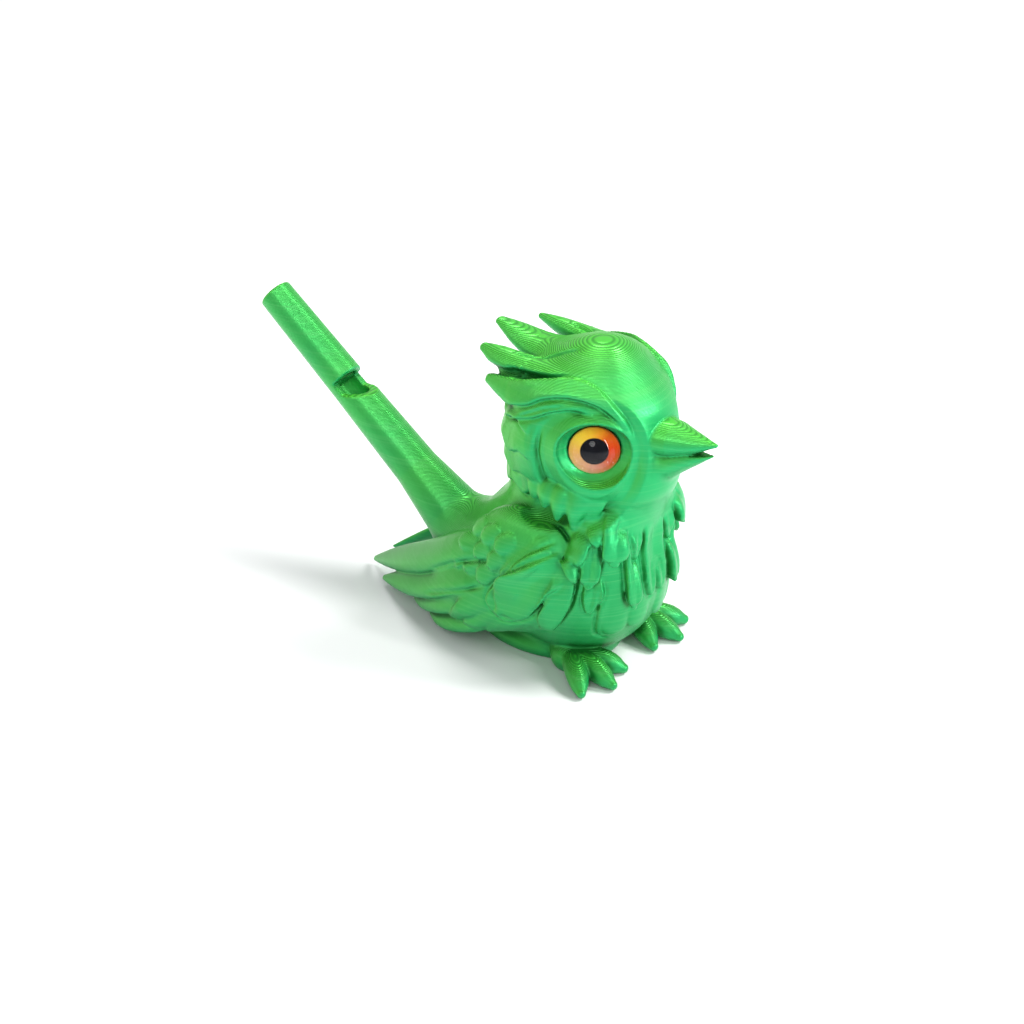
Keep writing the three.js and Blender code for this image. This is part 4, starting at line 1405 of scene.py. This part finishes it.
class WHISTLE_OT_stage(bpy.types.Operator):
    """Lay the pale floor, hang the soft lights and place the camera"""

    bl_idname = "whistle.stage"
    bl_label = "Stage"

    def execute(self, context):
        scene = context.scene
        shop = Shop("pale_floor")
        cloud = shop.noise(shop.place(), 3.0, 2.0)
        tone = shop.mix(cloud, (0.90, 0.90, 0.90), (0.93, 0.93, 0.93))
        surface = shop.node("ShaderNodeBsdfPrincipled", {}, {
            "Base Color": tone, "Roughness": cloud * 0.05 + 0.6, "Specular IOR Level": 0.1,
        })[0]
        floor_material = shop.finish(surface)
        corners = [(x * FLOOR_HALF, y * FLOOR_HALF, 0) for x, y in ((-1, -1), (1, -1), (1, 1), (-1, 1))]
        mesh = plain_mesh("floor", corners, [(0, 1, 2, 3)])
        show("floor", mesh, floor_material)

        world = bpy.data.worlds.new("studio")
        scene.world = world
        world.use_nodes = True
        world.node_tree.nodes["Background"].inputs["Color"].default_value = (0.95, 0.98, 1.0, 1.0)
        world.node_tree.nodes["Background"].inputs["Strength"].default_value = 0.40

        centre = Vector((-0.002, 0.0, 0.030))
        for name, turn, rise, distance, width, length, power in SOFTBOXES:
            light = bpy.data.lights.new(name, "AREA")
            light.shape = "ELLIPSE"
            light.size, light.size_y = width, length
            light.energy = power
            lamp = bpy.data.objects.new(name, light)
            scene.collection.objects.link(lamp)
            look_at(lamp, centre, turn, rise, distance)

        lens = bpy.data.cameras.new("camera")
        lens.sensor_width = 36.0
        lens.lens = 80.66
        lens.clip_start = 0.01
        camera = bpy.data.objects.new("camera", lens)
        scene.collection.objects.link(camera)
        aim = Vector((CAD_BOUNDS[0][0] + 0.0682, 0.0, 0.024107))
        look_at(camera, aim, CAMERA_BEARING, CAMERA_HEIGHT, CAMERA_DISTANCE)
        scene.camera = camera
        scene.view_settings.view_transform = "Standard"
        scene.view_settings.look = "None"
        return {"FINISHED"}


# ---- Settings and panel -------------------------------------------------------------------------

class WhistleSettings(bpy.types.PropertyGroup):
    """Sizes and colours that a maker would change"""

    detail: bpy.props.FloatProperty(
        name="Detail", description="Width of the smallest detail that the clay holds",
        default=0.3 * MM, unit="LENGTH", precision=5,
    )
    layer_height: bpy.props.FloatProperty(
        name="Layer Height", description="Height of one printed layer",
        default=0.2 * MM, unit="LENGTH", precision=5,
    )
    lime: bpy.props.FloatVectorProperty(
        name="Lime", description="Colour of the filament's lime side",
        default=(0.10, 0.66, 0.06), size=3, subtype="COLOR", min=0.0, max=1.0,
    )
    emerald: bpy.props.FloatVectorProperty(
        name="Emerald", description="Colour of the filament's emerald side",
        default=(0.008, 0.42, 0.12), size=3, subtype="COLOR", min=0.0, max=1.0,
    )
    # Painted shade: the colour laid into creases and layer grooves.
    shade: bpy.props.FloatVectorProperty(
        name="Shade", description="Colour of the print deep between feathers",
        default=(0.004, 0.16, 0.02), size=3, subtype="COLOR", min=0.0, max=1.0,
    )


OPERATORS = (
    WHISTLE_OT_body, WHISTLE_OT_head, WHISTLE_OT_tube, WHISTLE_OT_wings, WHISTLE_OT_feet, WHISTLE_OT_ruff,
    WHISTLE_OT_nape, WHISTLE_OT_eye_sockets, WHISTLE_OT_crest, WHISTLE_OT_cheeks,
    WHISTLE_OT_eye_pockets, WHISTLE_OT_beak,
    WHISTLE_OT_print, WHISTLE_OT_eyes, WHISTLE_OT_fipple, WHISTLE_OT_stage,
)


class WHISTLE_PT_panel(bpy.types.Panel):
    """Lists the whistle's settings and operators in the sidebar"""

    bl_label = "Bird Whistle"
    bl_idname = "WHISTLE_PT_panel"
    bl_space_type = "VIEW_3D"
    bl_region_type = "UI"
    bl_category = "Whistle"

    def draw(self, context):
        for name in WhistleSettings.__annotations__:
            self.layout.prop(context.scene.whistle, name)
        for operator in OPERATORS:
            self.layout.operator(operator.bl_idname)


CLASSES = (WhistleSettings, *OPERATORS, WHISTLE_PT_panel)


def register():
    for item in CLASSES:
        bpy.utils.register_class(item)
    bpy.types.Scene.whistle = bpy.props.PointerProperty(type=WhistleSettings)


def unregister():
    del bpy.types.Scene.whistle
    for item in reversed(CLASSES):
        bpy.utils.unregister_class(item)


def main():
    register()
    for operator in OPERATORS:
        group, name = operator.bl_idname.split(".")
        getattr(getattr(bpy.ops, group), name)()


if __name__ == "__main__":
    main()
